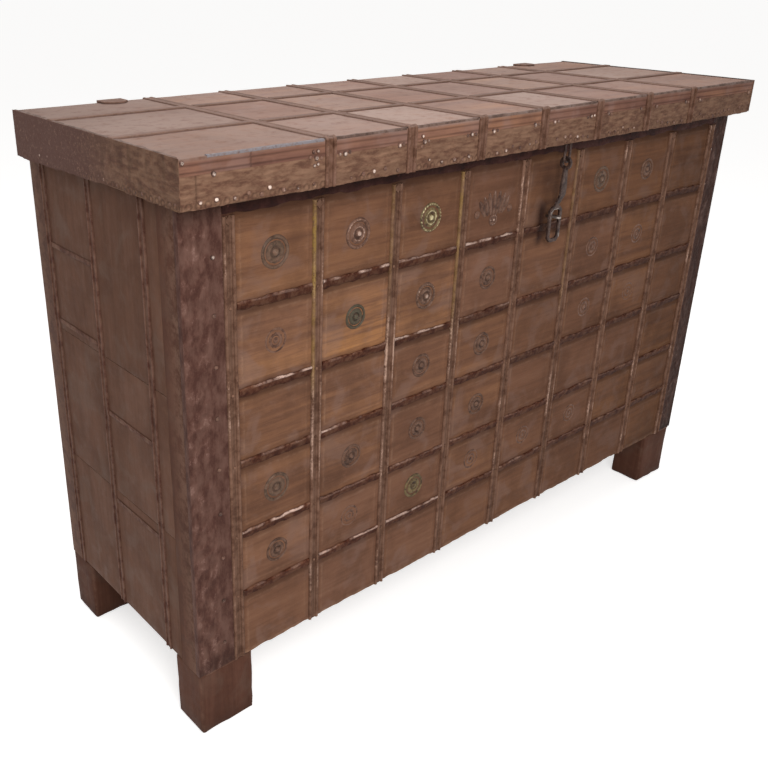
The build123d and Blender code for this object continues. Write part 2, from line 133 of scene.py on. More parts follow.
def rough(points: np.ndarray, size: float, seed: int = 0) -> np.ndarray:
    """Smooth noise between 0 and 1.

    Args:
        points: Places, one row each.
        size: Distance over which the noise changes, in the points' unit.
        seed: Picks one noise out of many.

    Returns:
        One value for each point.
    """
    spots = np.asarray(points, float) / size
    corner = np.floor(spots).astype(np.int64)
    part = spots - corner
    part = part * part * (3 - 2 * part)
    total = np.zeros(len(spots))
    for number in range(8):
        step = np.array([number & 1, number >> 1 & 1, number >> 2 & 1])
        key = np.bitwise_xor.reduce((corner + step) * PRIMES, axis=1) ^ (seed + 1) * SEED_PRIME
        weight = np.prod(np.where(step == 1, part, 1 - part), axis=1)
        total += weight * LATTICE[key % len(LATTICE)]
    return total


def mottled(points: np.ndarray, size: float, seed: int = 0) -> np.ndarray:
    """Noise in three octaves, between 0 and 1.

    Args:
        points: Places, one row each.
        size: Size of the largest octave.
        seed: Picks one noise out of many.

    Returns:
        One value for each point.
    """
    parts = [rough(points, size / 2**octave, seed + octave) / 2**octave for octave in range(3)]
    return sum(parts) / 1.75


def ease(value: np.ndarray, low: float, high: float) -> np.ndarray:
    """Smooth rise from 0 at low to 1 at high."""
    part = np.clip((value - low) / (high - low), 0, 1)
    return part * part * (3 - 2 * part)


def ridge(value: np.ndarray, middle: Value, width: float) -> np.ndarray:
    """Bell that is 1 at its middle and falls to about a third at its width."""
    return np.exp(-(((value - middle) / width) ** 2))


class Shape:
    """Points, faces and surface values gathered for one mesh."""

    def __init__(self) -> None:
        """Starts with nothing in it."""
        self.points: list[np.ndarray] = []
        self.faces: Faces = []
        self.values: dict[str, list[np.ndarray]] = {name: [] for name in VALUES}
        self.count = 0

    def add(self, points: np.ndarray, faces: Iterable[Sequence[int]], **values: Value) -> None:
        """Adds a closed form.

        Args:
            points: Places in millimetres, one row each.
            faces: Corners of each face, as row numbers.
            **values: Surface values by name, one number for all points or one for each.
        """
        points = np.asarray(points, float).reshape(-1, 3)
        for name in VALUES:
            self.values[name].append(np.broadcast_to(values.get(name, 0.0), len(points)).astype(float))
        self.faces.extend(tuple(int(corner) + self.count for corner in face) for face in faces)
        self.points.append(points)
        self.count += len(points)

    def scale_last(self, name: str, factor: Value) -> None:
        """Scales a surface value of the form that was added last."""
        self.values[name][-1] = self.values[name][-1] * factor

    def make(
        self,
        name: str,
        body: Body,
        slot: Slot,
        finish: Material,
        replaces: Sequence[str] = (),
    ) -> bpy.types.Object:
        """Makes the mesh, and lets it ride on its body.

        Args:
            name: Name of the piece.
            body: Body that it moves with.
            slot: Slot of the record that its finish comes from; not used.
            finish: Material of the whole piece.
            replaces: Nodes that it stands for.

        Returns:
            The new object.
        """
        mesh = bpy.data.meshes.new(name)
        mesh.from_pydata((np.vstack(self.points) * MM).tolist(), [], self.faces)
        mesh.validate()
        for value in VALUES:
            layer = mesh.attributes.new(value, "FLOAT", "POINT")
            layer.data.foreach_set("value", np.concatenate(self.values[value]).astype(np.float32))
        mesh.materials.append(finish)
        return placed(mesh, body, 38.0, replaces)


def placed(
    mesh: bpy.types.Mesh, body: Body, sharp: float, replaces: Sequence[str]
) -> bpy.types.Object:
    """Smooths a mesh and puts it in the scene as a piece.

    Args:
        mesh: Mesh, which gives the piece its name.
        body: Body that it moves with.
        sharp: Angle in degrees over which an edge stays sharp.
        replaces: Nodes that it stands for.

    Returns:
        The new object.
    """
    mesh.polygons.foreach_set("use_smooth", [True] * len(mesh.polygons))
    mesh.set_sharp_from_angle(angle=math.radians(sharp))
    piece = bpy.data.objects.new(mesh.name, mesh)
    bpy.context.scene.collection.objects.link(piece)
    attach(piece, body.value)
    if replaces:
        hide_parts(*replaces)
    return piece


def node_box(name: str) -> tuple[np.ndarray, np.ndarray]:
    """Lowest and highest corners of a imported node, in millimetres."""
    low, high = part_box(name)
    return np.array(low) / MM, np.array(high) / MM


def lines(low: float, high: float, step: float, edge: float) -> np.ndarray:
    """Grid lines from one limit to the other.

    Args:
        low: First limit.
        high: Last limit.
        step: Widest gap between lines.
        edge: Depth at each end that gets lines of its own.

    Returns:
        Places of the lines, in order.
    """
    edge = min(edge, (high - low) / 2.01)
    count = max(1, math.ceil((high - low - 2 * edge) / step))
    middle = np.linspace(low + edge, high - edge, count + 1)
    ends = np.array([0.0, 0.35, 0.7]) * edge
    return np.unique(np.concatenate([low + ends, middle, high - ends]))


def box_grid(xs: np.ndarray, ys: np.ndarray, zs: np.ndarray) -> tuple[np.ndarray, Faces]:
    """Closed box whose six sides carry a grid, with its faces looking outwards.

    Args:
        xs: Grid lines along X.
        ys: Grid lines along Y.
        zs: Grid lines along Z.

    Returns:
        Its points and faces.
    """
    shape = (len(xs), len(ys), len(zs))
    inside = np.zeros(shape, bool)
    inside[1:-1, 1:-1, 1:-1] = True
    numbers = np.full(shape, -1)
    numbers[~inside] = np.arange((~inside).sum())
    grid = np.stack(np.meshgrid(xs, ys, zs, indexing="ij"), axis=-1)
    faces: Faces = []
    for axis in range(3):
        for end, turn in ((0, 1), (-1, 0)):
            side = np.take(numbers, end, axis=axis)
            corners = [side[:-1, :-1], side[1:, :-1], side[1:, 1:], side[:-1, 1:]]
            quads = np.stack([part.ravel() for part in corners], axis=-1)
            flip = turn ^ (axis == 1)
            faces.extend(map(tuple, quads[:, ::-1] if flip else quads))
    return grid[~inside], faces


@dataclass
class Board:
    """A board with rounded, worn edges."""

    low: Place
    high: Place
    radius: float = 2.0
    step: float = 22.0
    wave: float = 0.5
    chip: float = 1.2
    seed: int = 0
    tone: float = 0.0
    wave_length: float = 70.0
    chip_length: float = 16.0
    tone_length: float = 240.0

    def add_to(self, shape: Shape, warm: float = 0.0, dust: float = 0.0) -> None:
        """Adds the board to a shape.

        Args:
            shape: Shape that takes it.
            warm: How far its finish leans to the second colour.
            dust: How dusty it is.
        """
        low, high = np.array(self.low, float), np.array(self.high, float)
        radius = min(self.radius, (high - low).min() / 2.01)
        points, faces = box_grid(*(lines(low[axis], high[axis], self.step, radius) for axis in range(3)))
        core = np.clip(points, low + radius, high - radius)
        out = points - core
        way = out / np.maximum(np.linalg.norm(out, axis=1, keepdims=True), 1e-9)
        near = np.clip(1 - np.minimum(points - low, high - points) / radius, 0, 1)
        edge = np.clip(near.sum(axis=1) - 1, 0, 1)
        shift = -self.wave * mottled(points, self.wave_length, self.seed)
        shift -= self.chip * edge * ease(mottled(points, self.chip_length, self.seed + 7), 0.35, 0.8)
        moved = core + way * radius + way * shift[:, None]
        tone = self.tone + 0.8 * (mottled(points, self.tone_length, self.seed + 13) - 0.5)
        shape.add(moved, faces, worn=edge, tone=tone, warm=warm, dust=dust, seed=self.seed * 0.37 % 7.0)


@dataclass
class Profile:
    """Outline across a bar, with its surface values at each corner."""

    across: np.ndarray
    out: np.ndarray
    worn: np.ndarray
    deep: np.ndarray


def beaded_profile(width: float, base: float, bead: float, flats: int = 9) -> Profile:
    """Strip with a half-round bead along each edge.

    Args:
        width: Width of the strip.
        base: Thickness between the beads.
        bead: Radius of each bead.
        flats: Faces round each bead.

    Returns:
        The outline, from one foot to the other over the top.
    """
    inner = width / 2 - 2 * bead
    corners = [(width / 2, -FOOT, 0.0, 1.0)]
    for side in (1, -1):
        for number in range(flats + 1):
            turn = math.pi * number / flats
            place = side * (width / 2 - bead) + bead * math.cos(turn)
            corners.append((place, base + bead * math.sin(turn), math.sin(turn) ** 2, 1 - math.sin(turn)))
        if side > 0:
            corners += [(inner * part, base, 0.2, 0.15) for part in (0.7, 0.2, -0.25, -0.6)]
    corners.append((-width / 2, -FOOT, 0.0, 1.0))
    return Profile(*np.array(corners).T)


@dataclass
class Run:
    """A bar of one profile along stations.

    Its across and outward ways are one for the whole bar, or one for each station.
    """

    profile: Profile
    origins: np.ndarray
    across: Place | np.ndarray
    out: Place | np.ndarray
    sway: float = 0.4
    dent: float = 0.3
    chip: float = 0.0
    fray: float = 0.0
    seed: int = 0
    tone: float = 0.0
    sway_length: float = 90.0
    dent_length: float = 14.0
    chip_length: float = 18.0
    fray_length: float = 15.0
    tone_length: float = 120.0

    def add_to(
        self, shape: Shape, warm: Value = 0.0, dust: Value = 0.0, grime_and_shade: Value = 0.0, rub: Value = 1.0
    ) -> None:
        """Adds the bar to a shape. Each value is a number or a table of stations by profile points.

        Args:
            shape: Shape that takes it.
            warm: How far its finish leans to the second colour.
            dust: How dusty it is.
            grime_and_shade: How dirty it is, with painted shade, beyond its profile's own hollows.
            rub: How much its proud parts are rubbed.
        """
        profile, rows, columns = self.profile, len(self.origins), len(self.profile.across)
        ways = [np.broadcast_to(np.asarray(way, float), (rows, 3)) for way in (self.across, self.out)]
        tables = {"warm": warm, "dust": dust, "grime_and_shade": grime_and_shade, "rub": rub}
        flat_tables = {name: np.broadcast_to(table, (rows, columns)).ravel() for name, table in tables.items()}
        sway = self.sway * 2 * (rough(self.origins, self.sway_length, self.seed) - 0.5)
        across = profile.across[None, :] + sway[:, None]
        half = np.abs(profile.across).max()
        for side in (-1, 1):
            loss = self.fray * ease(mottled(self.origins, self.fray_length, self.seed + 12 + side), 0.35, 0.75)
            across -= side * np.outer(loss, np.clip(side * profile.across / half, 0, 1) ** 2)
        base = (
            self.origins[:, None, :]
            + across[..., None] * ways[0][:, None, :]
            + profile.out[None, :, None] * ways[1][:, None, :]
        )
        flat = base.reshape(-1, 3)
        dent = self.dent * mottled(flat, self.dent_length, self.seed + 3)
        worn = np.tile(profile.worn, rows)
        chip = self.chip * worn * ease(mottled(flat, self.chip_length, self.seed + 5), 0.42, 0.75)
        lower = np.minimum(dent + chip, np.maximum(np.tile(profile.out, rows), 0) * 0.6)
        shape.add(
            flat - np.repeat(ways[1], columns, axis=0) * lower[:, None],
            tube_faces(rows, columns),
            worn=worn * flat_tables["rub"],
            deep=np.maximum(np.tile(profile.deep, rows), flat_tables["grime_and_shade"]),
            tone=self.tone + 0.8 * (mottled(flat, self.tone_length, self.seed + 9) - 0.5),
            warm=flat_tables["warm"],
            dust=flat_tables["dust"],
            seed=self.seed * 0.29 % 5.0,
        )


def tube_faces(rows: int, columns: int) -> Faces:
    """Faces of a closed tube with a cap at each end.

    Args:
        rows: Rings along the tube.
        columns: Points round each ring.

    Returns:
        The faces.
    """
    faces: Faces = []
    for start in range(0, (rows - 1) * columns, columns):
        for column in range(columns):
            following = (column + 1) % columns
            above = start + columns
            faces.append((start + column, start + following, above + following, above + column))
    faces.append(tuple(reversed(range(columns))))
    faces.append(tuple(range((rows - 1) * columns, rows * columns)))
    return faces


def straight(start: Place, finish: Place, step: float) -> np.ndarray:
    """Origins along a straight line, evenly spaced.

    Args:
        start: First origin.
        finish: Last origin.
        step: Widest gap between origins.

    Returns:
        The origins, one row each.
    """
    start, finish = np.array(start, float), np.array(finish, float)
    count = max(2, math.ceil(np.linalg.norm(finish - start) / step) + 1)
    return start + (finish - start) * np.linspace(0, 1, count)[:, None]


def add_plate(
    shape: Shape,
    outer: np.ndarray,
    back: np.ndarray,
    size: tuple[int, int],
    flip: bool = False,
    **values: Value,
) -> None:
    """Adds a closed plate made of a worked grid and a plain one behind it.

    Args:
        shape: Shape that takes it.
        outer: Places of the worked grid, row by row.
        back: Places of the plain grid, likewise.
        size: Rows and columns of each grid.
        flip: Whether its faces are turned round.
        **values: Surface values: one number for both grids, or one for each place of the worked grid.
    """
    rows, columns = size
    behind = rows * columns
    faces: Faces = []
    for row in range(rows - 1):
        for column in range(columns - 1):
            first = row * columns + column
            quad = (first, first + 1, first + columns + 1, first + columns)
            faces.append(quad)
            faces.append(tuple(corner + behind for corner in reversed(quad)))
    edge = list(range(columns))
    edge += [row * columns + columns - 1 for row in range(1, rows)]
    edge += [(rows - 1) * columns + column for column in range(columns - 2, -1, -1)]
    edge += [row * columns for row in range(rows - 2, 0, -1)]
    for corner, following in zip(edge, edge[1:] + edge[:1]):
        faces.append((following, corner, corner + behind, following + behind))
    if flip:
        faces = [tuple(reversed(face)) for face in faces]
    plain = np.zeros(behind)
    both = {name: np.append(value, plain) if np.ndim(value) else value for name, value in values.items()}
    shape.add(np.vstack([outer, back]), faces, **both)


@dataclass
class Disc:
    """A form turned about an axis that looks outwards, with petals or beads along chosen rings.

    A ring is radius, height, worn, deep, lobes and lobe height.
    """

    centre: Place
    out: Place
    rings: Sequence[tuple[float, ...]]
    sides: int = 48
    spin: float = 0.0
    seed: int = 0
    dent: float = 0.25
    tone: float = 0.0
    dent_length: float = 9.0

    def add_to(self, shape: Shape, warm: float = 0.0, wear: float = 1.0) -> None:
        """Adds the disc to a shape.

        Args:
            shape: Shape that takes it.
            warm: How far its finish leans to the second colour.
            wear: Share of each ring's worn value that counts.
        """
        out = Vector(self.out).normalized()
        level = abs(out.z) < 0.9
        side = Vector((0, 0, 1)).cross(out).normalized() if level else out.orthogonal().normalized()
        up = out.cross(side)
        points, worn, deep = [], [], []
        for ring in self.rings:
            radius, height, ring_worn, ring_deep, lobes, lift = (*ring, 0, 0)[:6]
            for number in range(self.sides):
                turn = math.tau * number / self.sides + self.spin
                lobe = 0.5 + 0.5 * math.cos(lobes * turn) if lobes else 0.0
                spot = side * math.cos(turn) * radius + up * math.sin(turn) * radius
                points.append(Vector(self.centre) + spot + out * (height + lift * lobe))
                worn.append(ring_worn * (0.6 + 0.4 * lobe if lobes else 1.0) * wear)
                deep.append(ring_deep * (1 - 0.7 * lobe if lobes else 1.0))
        flat = np.array(points)
        lower = self.dent * (mottled(flat, self.dent_length, self.seed) - 0.3)
        lower[: self.sides] = 0.0
        faces = tube_faces(len(self.rings), self.sides)
        seed = self.seed * 0.21 % 4.0
        moved = flat - np.outer(lower, self.out)
        shape.add(moved, faces, worn=worn, deep=deep, tone=self.tone, warm=warm, seed=seed)


def nail(shape: Shape, centre: Place, out: Place, radius: float, seed: int = 0, wear: float = 1.0) -> None:
    """Adds a domed nail head.

    Args:
        shape: Shape that takes it.
        centre: Middle of the head, on the surface.
        out: Way out of the surface.
        radius: Radius of the head.
        seed: Picks its dents and tone.
        wear: How bright its top is drawn, as rubbed metal and painted highlight, from 0 to 1.
    """
    rings = (
        (radius, -0.6, 0.0, 1.0),
        (radius, 0.2, 0.2, 0.6),
        (radius * 0.86, radius * 0.3, 0.7, 0.0),
        (radius * 0.5, radius * 0.52, 1.0, 0.0),
        (radius * 0.12, radius * 0.6, 1.0, 0.0),
    )
    tone = float(rough(np.array([centre]), 7.0, seed)[0] - 0.5)
    Disc(centre, out, rings, sides=12, seed=seed, dent=0.2, tone=tone).add_to(shape, wear=wear)


# Finishes

GRIME_AND_SHADE = "24140f"  # soot and grease in the hollows of iron and brass, and painted shade in recesses, under the rim and behind the hasp
EARTH_AND_SHADE = "2a1712"  # dirt in the corners of the wood, and painted shade under the bands, beside the straps and under the rim


def linear(code: str) -> tuple[float, float, float, float]:
    """Turns an sRGB hex value such as 8a6a4f to linear colour.

    Args:
        code: Six hex digits: red, green and blue.

    Returns:
        Linear red, green and blue, with full alpha.
    """
    parts = [int(code[start : start + 2], 16) / 255 for start in (0, 2, 4)]
    red, green, blue = (part / 12.92 if part <= 0.04045 else ((part + 0.055) / 1.055) ** 2.4 for part in parts)
    return red, green, blue, 1.0


def add_node(
    tree: bpy.types.NodeTree, kind: str, settings: Optional[dict] = None, links: Optional[dict] = None
) -> bpy.types.Node:
    """Adds a node with its settings and links.

    Args:
        tree: Node tree that takes it.
        kind: Node type, without its ShaderNode prefix.
        settings: Values by the name or number of an input, or by the name of an attribute. Hex values become
            linear colours, and a ramp is a list of places with hex values.
        links: Sockets by the name or number of the input that they feed. A node stands for the first of its
            outputs that is in use.

    Returns:
        The new node.
    """
    node = tree.nodes.new("ShaderNode" + kind)
    for key, value in (settings or {}).items():
        if key == "ramp":
            stops = node.color_ramp.elements
            while len(stops) < len(value):
                stops.new(0.5)
            for stop, (place, colour) in zip(stops, value):
                stop.position = place
                stop.color = linear(colour)
        elif isinstance(key, int) or key in node.inputs:
            node.inputs[key].default_value = linear(value) if isinstance(value, str) else value
        else:
            setattr(node, key, value)
    for key, source in (links or {}).items():
        if isinstance(source, bpy.types.Node):
            source = next(socket for socket in source.outputs if socket.enabled)
        tree.links.new(source, node.inputs[key])
    return node


def blank_material(name: str) -> Material:
    """Makes a material whose node tree is empty.

    Args:
        name: Name of the material.

    Returns:
        The new material.
    """
    material = bpy.data.materials.new(name)
    material.use_nodes = True
    material.node_tree.nodes.clear()
    return material


@dataclass(frozen=True)
class Finish:
    """What every finish of the chest has in common."""

    name: str

    def start(self) -> tuple[Material, dict[str, bpy.types.NodeSocket], bpy.types.Node]:
        """Starts the material.

        Returns:
            The material, the sockets of the surface values, and the place on the piece, moved by its seed.
        """
        material = blank_material(self.name)
        tree = material.node_tree
        surface = {}
        for value in VALUES:
            surface[value] = add_node(tree, "Attribute", {"attribute_name": value}).outputs["Fac"]
        place = add_node(tree, "TexCoord").outputs["Object"]
        spot = add_node(tree, "VectorMath", {"operation": "ADD"}, {0: place, 1: surface["seed"]})
        return material, surface, spot


SMOOTH = {"interpolation_type": "SMOOTHSTEP"}
CLAMPED = {"operation": "MULTIPLY", "use_clamp": True}


@dataclass(frozen=True)
class Wood(Finish):
    """Sawn and planed hardwood, oiled long ago and left to age."""

    dark: str
    middle: str
    light: str
    golden: str
    grain: Grain
    grain_mm: float = 7.0  # spacing of the growth lines across a board
    stretch: float = 0.055  # how much shorter the pattern is across the grain than along it
    contrast: float = 1.0
    stain: str = "4e3527"
    stain_mm: float = 90.9  # size of the dark stains
    bloom: str = "8d7066"  # pinkish grey film of old wax
    bloom_mm: float = 58.82  # size of the patches of film
    bloom_share: float = 0.45
    speck_mm: float = 22.22  # size of the pale specks
    pore_mm: float = 1.6  # pores are 0.3 mm wide, and drawn coarser so that they show
    dust: str = "9c8378"
    dustiness: float = 0.0
    worn_colour: str = "a5826a"
    roughness: float = 0.68

    def make(self) -> Material:
        """Builds the material.

        Returns:
            The finished material.
        """
        material, surface, spot = self.start()
        tree = material.node_tree
        stretch = [1.0, 1.0, 1.0]
        stretch[self.grain.value] = self.stretch
        along = add_node(tree, "Mapping", {"Scale": stretch}, {"Vector": spot})
        noises = {}
        for name, vector, size, detail, coarse, bend in (
            ("lines", along, self.grain_mm, 5.0, 0.6, 0.35),
            ("figure", along, self.grain_mm * 6, 3.0, 0.5, 0.8),
            ("stains", spot, self.stain_mm, 5.0, 0.62, 0.0),
            ("specks", spot, self.speck_mm, 6.0, 0.7, 0.0),
            ("patches", spot, self.bloom_mm, 4.0, 0.5, 0.6),
            ("pores", along, self.pore_mm, 2.0, 0.5, 0.0),
        ):
            settings = {"Scale": 1000 / size, "Detail": detail, "Roughness": coarse, "Distortion": bend}
            noises[name] = add_node(tree, "TexNoise", settings, {"Vector": vector})
        specks = noises["specks"]
        half = add_node(tree, "Math", {"operation": "MULTIPLY", 1: 0.5}, {0: noises["lines"]})
        growth = add_node(
            tree, "Math", {"operation": "MULTIPLY_ADD", 1: 0.5}, {0: noises["figure"], 2: half}
        )
        spread = 0.17 / self.contrast
        band = add_node(tree, "MapRange", {**SMOOTH, 1: 0.5 - spread, 2: 0.5 + spread}, {0: growth})
        stops = [(0.0, self.dark), (0.5, self.middle), (1.0, self.light)]
        colour = add_node(tree, "ValToRGB", {"ramp": stops}, {0: band})
        golden = add_node(tree, "MapRange", {**SMOOTH, 1: 0.34, 2: 0.66}, {0: growth, 4: surface["warm"]})
        pore = add_node(tree, "MapRange", {**SMOOTH, 1: 0.56, 2: 0.7}, {0: noises["pores"]})
        layers = [(golden, self.golden)]
        for noise, low, high, most, code in (
            (noises["stains"], 0.4, 0.66, 0.4, self.stain),
            (noises["patches"], 0.5, 0.66, self.bloom_share, self.bloom),
            (specks, 0.52, 0.68, 0.3, self.light),
            (noises["pores"], 0.56, 0.7, 0.25, self.dark),
        ):
            layers.append((add_node(tree, "MapRange", {**SMOOTH, 1: low, 2: high, 4: most}, {0: noise}), code))
        bare = add_node(tree, "Math", {**CLAMPED, 1: 0.7}, {0: surface["worn"]})
        rubbed = add_node(tree, "MapRange", {**SMOOTH, 1: 0.38, 2: 0.6}, {0: specks, 4: bare})
        # The deep value brings in dirt and painted shade.
        dirt_and_shade = add_node(tree, "Math", {**CLAMPED, 1: 0.62}, {0: surface["deep"]})
        layers += [(rubbed, self.worn_colour), (dirt_and_shade, EARTH_AND_SHADE)]
        if self.dustiness:
            settled = add_node(tree, "Math", {**CLAMPED, 1: self.dustiness}, {0: surface["dust"]})
            film = add_node(tree, "MapRange", {**SMOOTH, 1: 0.2, 2: 0.55}, {0: specks, 4: settled})
            clear = {"operation": "MULTIPLY_ADD", "use_clamp": True, 1: -0.5}
            layers.append((add_node(tree, "Math", clear, {0: surface["deep"], 2: film}), self.dust))
        for share, code in layers:
            colour = add_node(tree, "Mix", {"data_type": "RGBA", 7: code}, {0: share, 6: colour})
        bright = add_node(tree, "MapRange", {1: -1.0, 3: 0.5, 4: 1.5}, {0: surface["tone"]})
        rich = add_node(tree, "MapRange", {1: -1.0, 3: 1.1, 4: 0.92}, {0: surface["tone"]})
        shift = {"Value": bright, "Saturation": rich, "Color": colour}
        gloss = {1: 0.3, 2: 0.7, 3: self.roughness - 0.12, 4: self.roughness + 0.16}
        height = add_node(tree, "Math", {"operation": "MULTIPLY_ADD", 1: -0.4}, {0: pore, 2: growth})
        wired = {
            "Base Color": add_node(tree, "HueSaturation", {}, shift),
            "Roughness": add_node(tree, "MapRange", gloss, {0: specks}),
            "Normal": add_node(tree, "Bump", {"Strength": 0.4, "Distance": 0.001}, {"Height": height}),
        }
        shader = add_node(tree, "BsdfPrincipled", {"Specular IOR Level": 0.08}, wired)
        add_node(tree, "OutputMaterial", {}, {"Surface": shader})
        return material


@dataclass(frozen=True)
class Metal(Finish):
    """Iron or brass beaten by hand, brown with age and rubbed bright on what stands proud."""

    shade: str
    ground: str
    bloom: str
    bare: str
    second: str = ""  # colour that the warm value brings in
    crust_mm: float = 9.0  # size of the patches of patina
    speck_mm: float = 3.846  # size of the specks of rust and polish
    broad_mm: float = 111.1  # size of the stretches that hands have rubbed
    bare_level: float = 0.55  # how much of what stands proud is rubbed bright, from 0 to 1
    bare_metallic: float = 0.35
    metallic: float = 0.05
    roughness: float = 0.62
    bump_mm: float = 0.5
    sheen: float = 0.1  # specular level, low under a dry crust
    dust: str = ""  # colour of the dust that lies on it
    upright: float = 1.0  # share of a patch's width to its height

    def make(self) -> Material:
        """Builds the material.

        Returns:
            The finished material.
        """
        material, surface, spot = self.start()
        tree = material.node_tree
        drawn = add_node(tree, "Mapping", {"Scale": (1.0, 1.0, self.upright)}, {"Vector": spot})
        patches = {"Scale": 1000 / (self.crust_mm * 2), "Detail": 6.0, "Roughness": 0.65}
        crust = add_node(tree, "TexNoise", patches, {"Vector": drawn})
        specks = {"Scale": 1000 / self.speck_mm, "Detail": 5.0, "Roughness": 0.7}
        fine = add_node(tree, "TexNoise", specks, {"Vector": spot})
        broad = add_node(tree, "TexNoise", {"Scale": 1000 / self.broad_mm, "Detail": 3.0}, {"Vector": spot})
        share = add_node(tree, "MapRange", {**SMOOTH, 1: 0.34, 2: 0.66}, {0: crust})
        stops = [(0.0, self.shade), (0.45, self.ground), (1.0, self.bloom)]
        colour = add_node(tree, "ValToRGB", {"ramp": stops}, {0: share})
        bloomed = add_node(tree, "MapRange", {**SMOOTH, 1: 0.5, 2: 0.66, 4: 0.35}, {0: fine})
        layers: list[tuple] = [(bloomed, {7: self.bloom}, {})]
        proud = ({7: self.bare}, {})
        if self.second:
            left = add_node(tree, "MapRange", {**SMOOTH, 1: 0.3, 2: 0.55}, {0: fine, 4: surface["warm"]})
            layers.append((left, {7: self.second}, {}))
            mix = {"data_type": "RGBA", 6: self.bare, 7: self.second}
            proud = ({}, {7: add_node(tree, "Mix", mix, {0: surface["warm"]})})
        # The deep value brings in grime in the hollows and painted shade.
        dirt_and_shade = add_node(tree, "Math", {**CLAMPED, 1: 0.6}, {0: surface["deep"]})
        blend = add_node(tree, "Math", {"operation": "MULTIPLY", 1: 0.5}, {0: fine})
        for noise, weight in ((crust, 0.3), (broad, 0.2)):
            blend = add_node(tree, "Math", {"operation": "MULTIPLY_ADD", 1: weight}, {0: noise, 2: blend})
        level = add_node(tree, "Math", CLAMPED, {0: surface["worn"], 1: blend})
        edge = 1.0 - self.bare_level
        rubbing = {**SMOOTH, 1: 0.22 + 0.28 * edge, 2: 0.4 + 0.3 * edge}
        rubbed = add_node(tree, "MapRange", rubbing, {0: level})
        layers += [(dirt_and_shade, {7: GRIME_AND_SHADE}, {}), (rubbed, *proud)]
        if self.dust:
            settled = add_node(tree, "Math", {**CLAMPED, 1: 0.85}, {0: surface["dust"]})
            film = add_node(tree, "MapRange", {**SMOOTH, 1: 0.2, 2: 0.6}, {0: fine, 4: settled})
            layers.append((film, {7: self.dust}, {}))
        for share, settings, links in layers:
            colour = add_node(tree, "Mix", {"data_type": "RGBA", **settings}, {0: share, 6: colour, **links})
        bright = add_node(tree, "MapRange", {1: -1.0, 3: 0.5, 4: 1.5}, {0: surface["tone"]})
        gloss = {1: 0.3, 2: 0.7, 3: self.roughness - 0.1, 4: self.roughness + 0.2}
        dull = add_node(tree, "MapRange", gloss, {0: fine})
        polish = {"operation": "MULTIPLY_ADD", "use_clamp": True, 1: -0.2}
        height = add_node(tree, "Math", {"operation": "MULTIPLY_ADD", 1: 0.5}, {0: fine, 2: crust})
        relief = {"Strength": 0.5, "Distance": self.bump_mm * 2 * MM}
        wired = {
            "Base Color": add_node(tree, "HueSaturation", {}, {"Value": bright, "Color": colour}),
            "Metallic": add_node(tree, "MapRange", {3: self.metallic, 4: self.bare_metallic}, {0: rubbed}),
            "Roughness": add_node(tree, "Math", polish, {0: rubbed, 2: dull}),
            "Normal": add_node(tree, "Bump", relief, {"Height": height}),
        }
        shader = add_node(tree, "BsdfPrincipled", {"Specular IOR Level": self.sheen}, wired)
        add_node(tree, "OutputMaterial", {}, {"Surface": shader})
        return material


def built(recipe: Wood | Metal) -> Material:
    """Field that holds a recipe's material, made when the finishes are."""
    return field(default_factory=recipe.make)


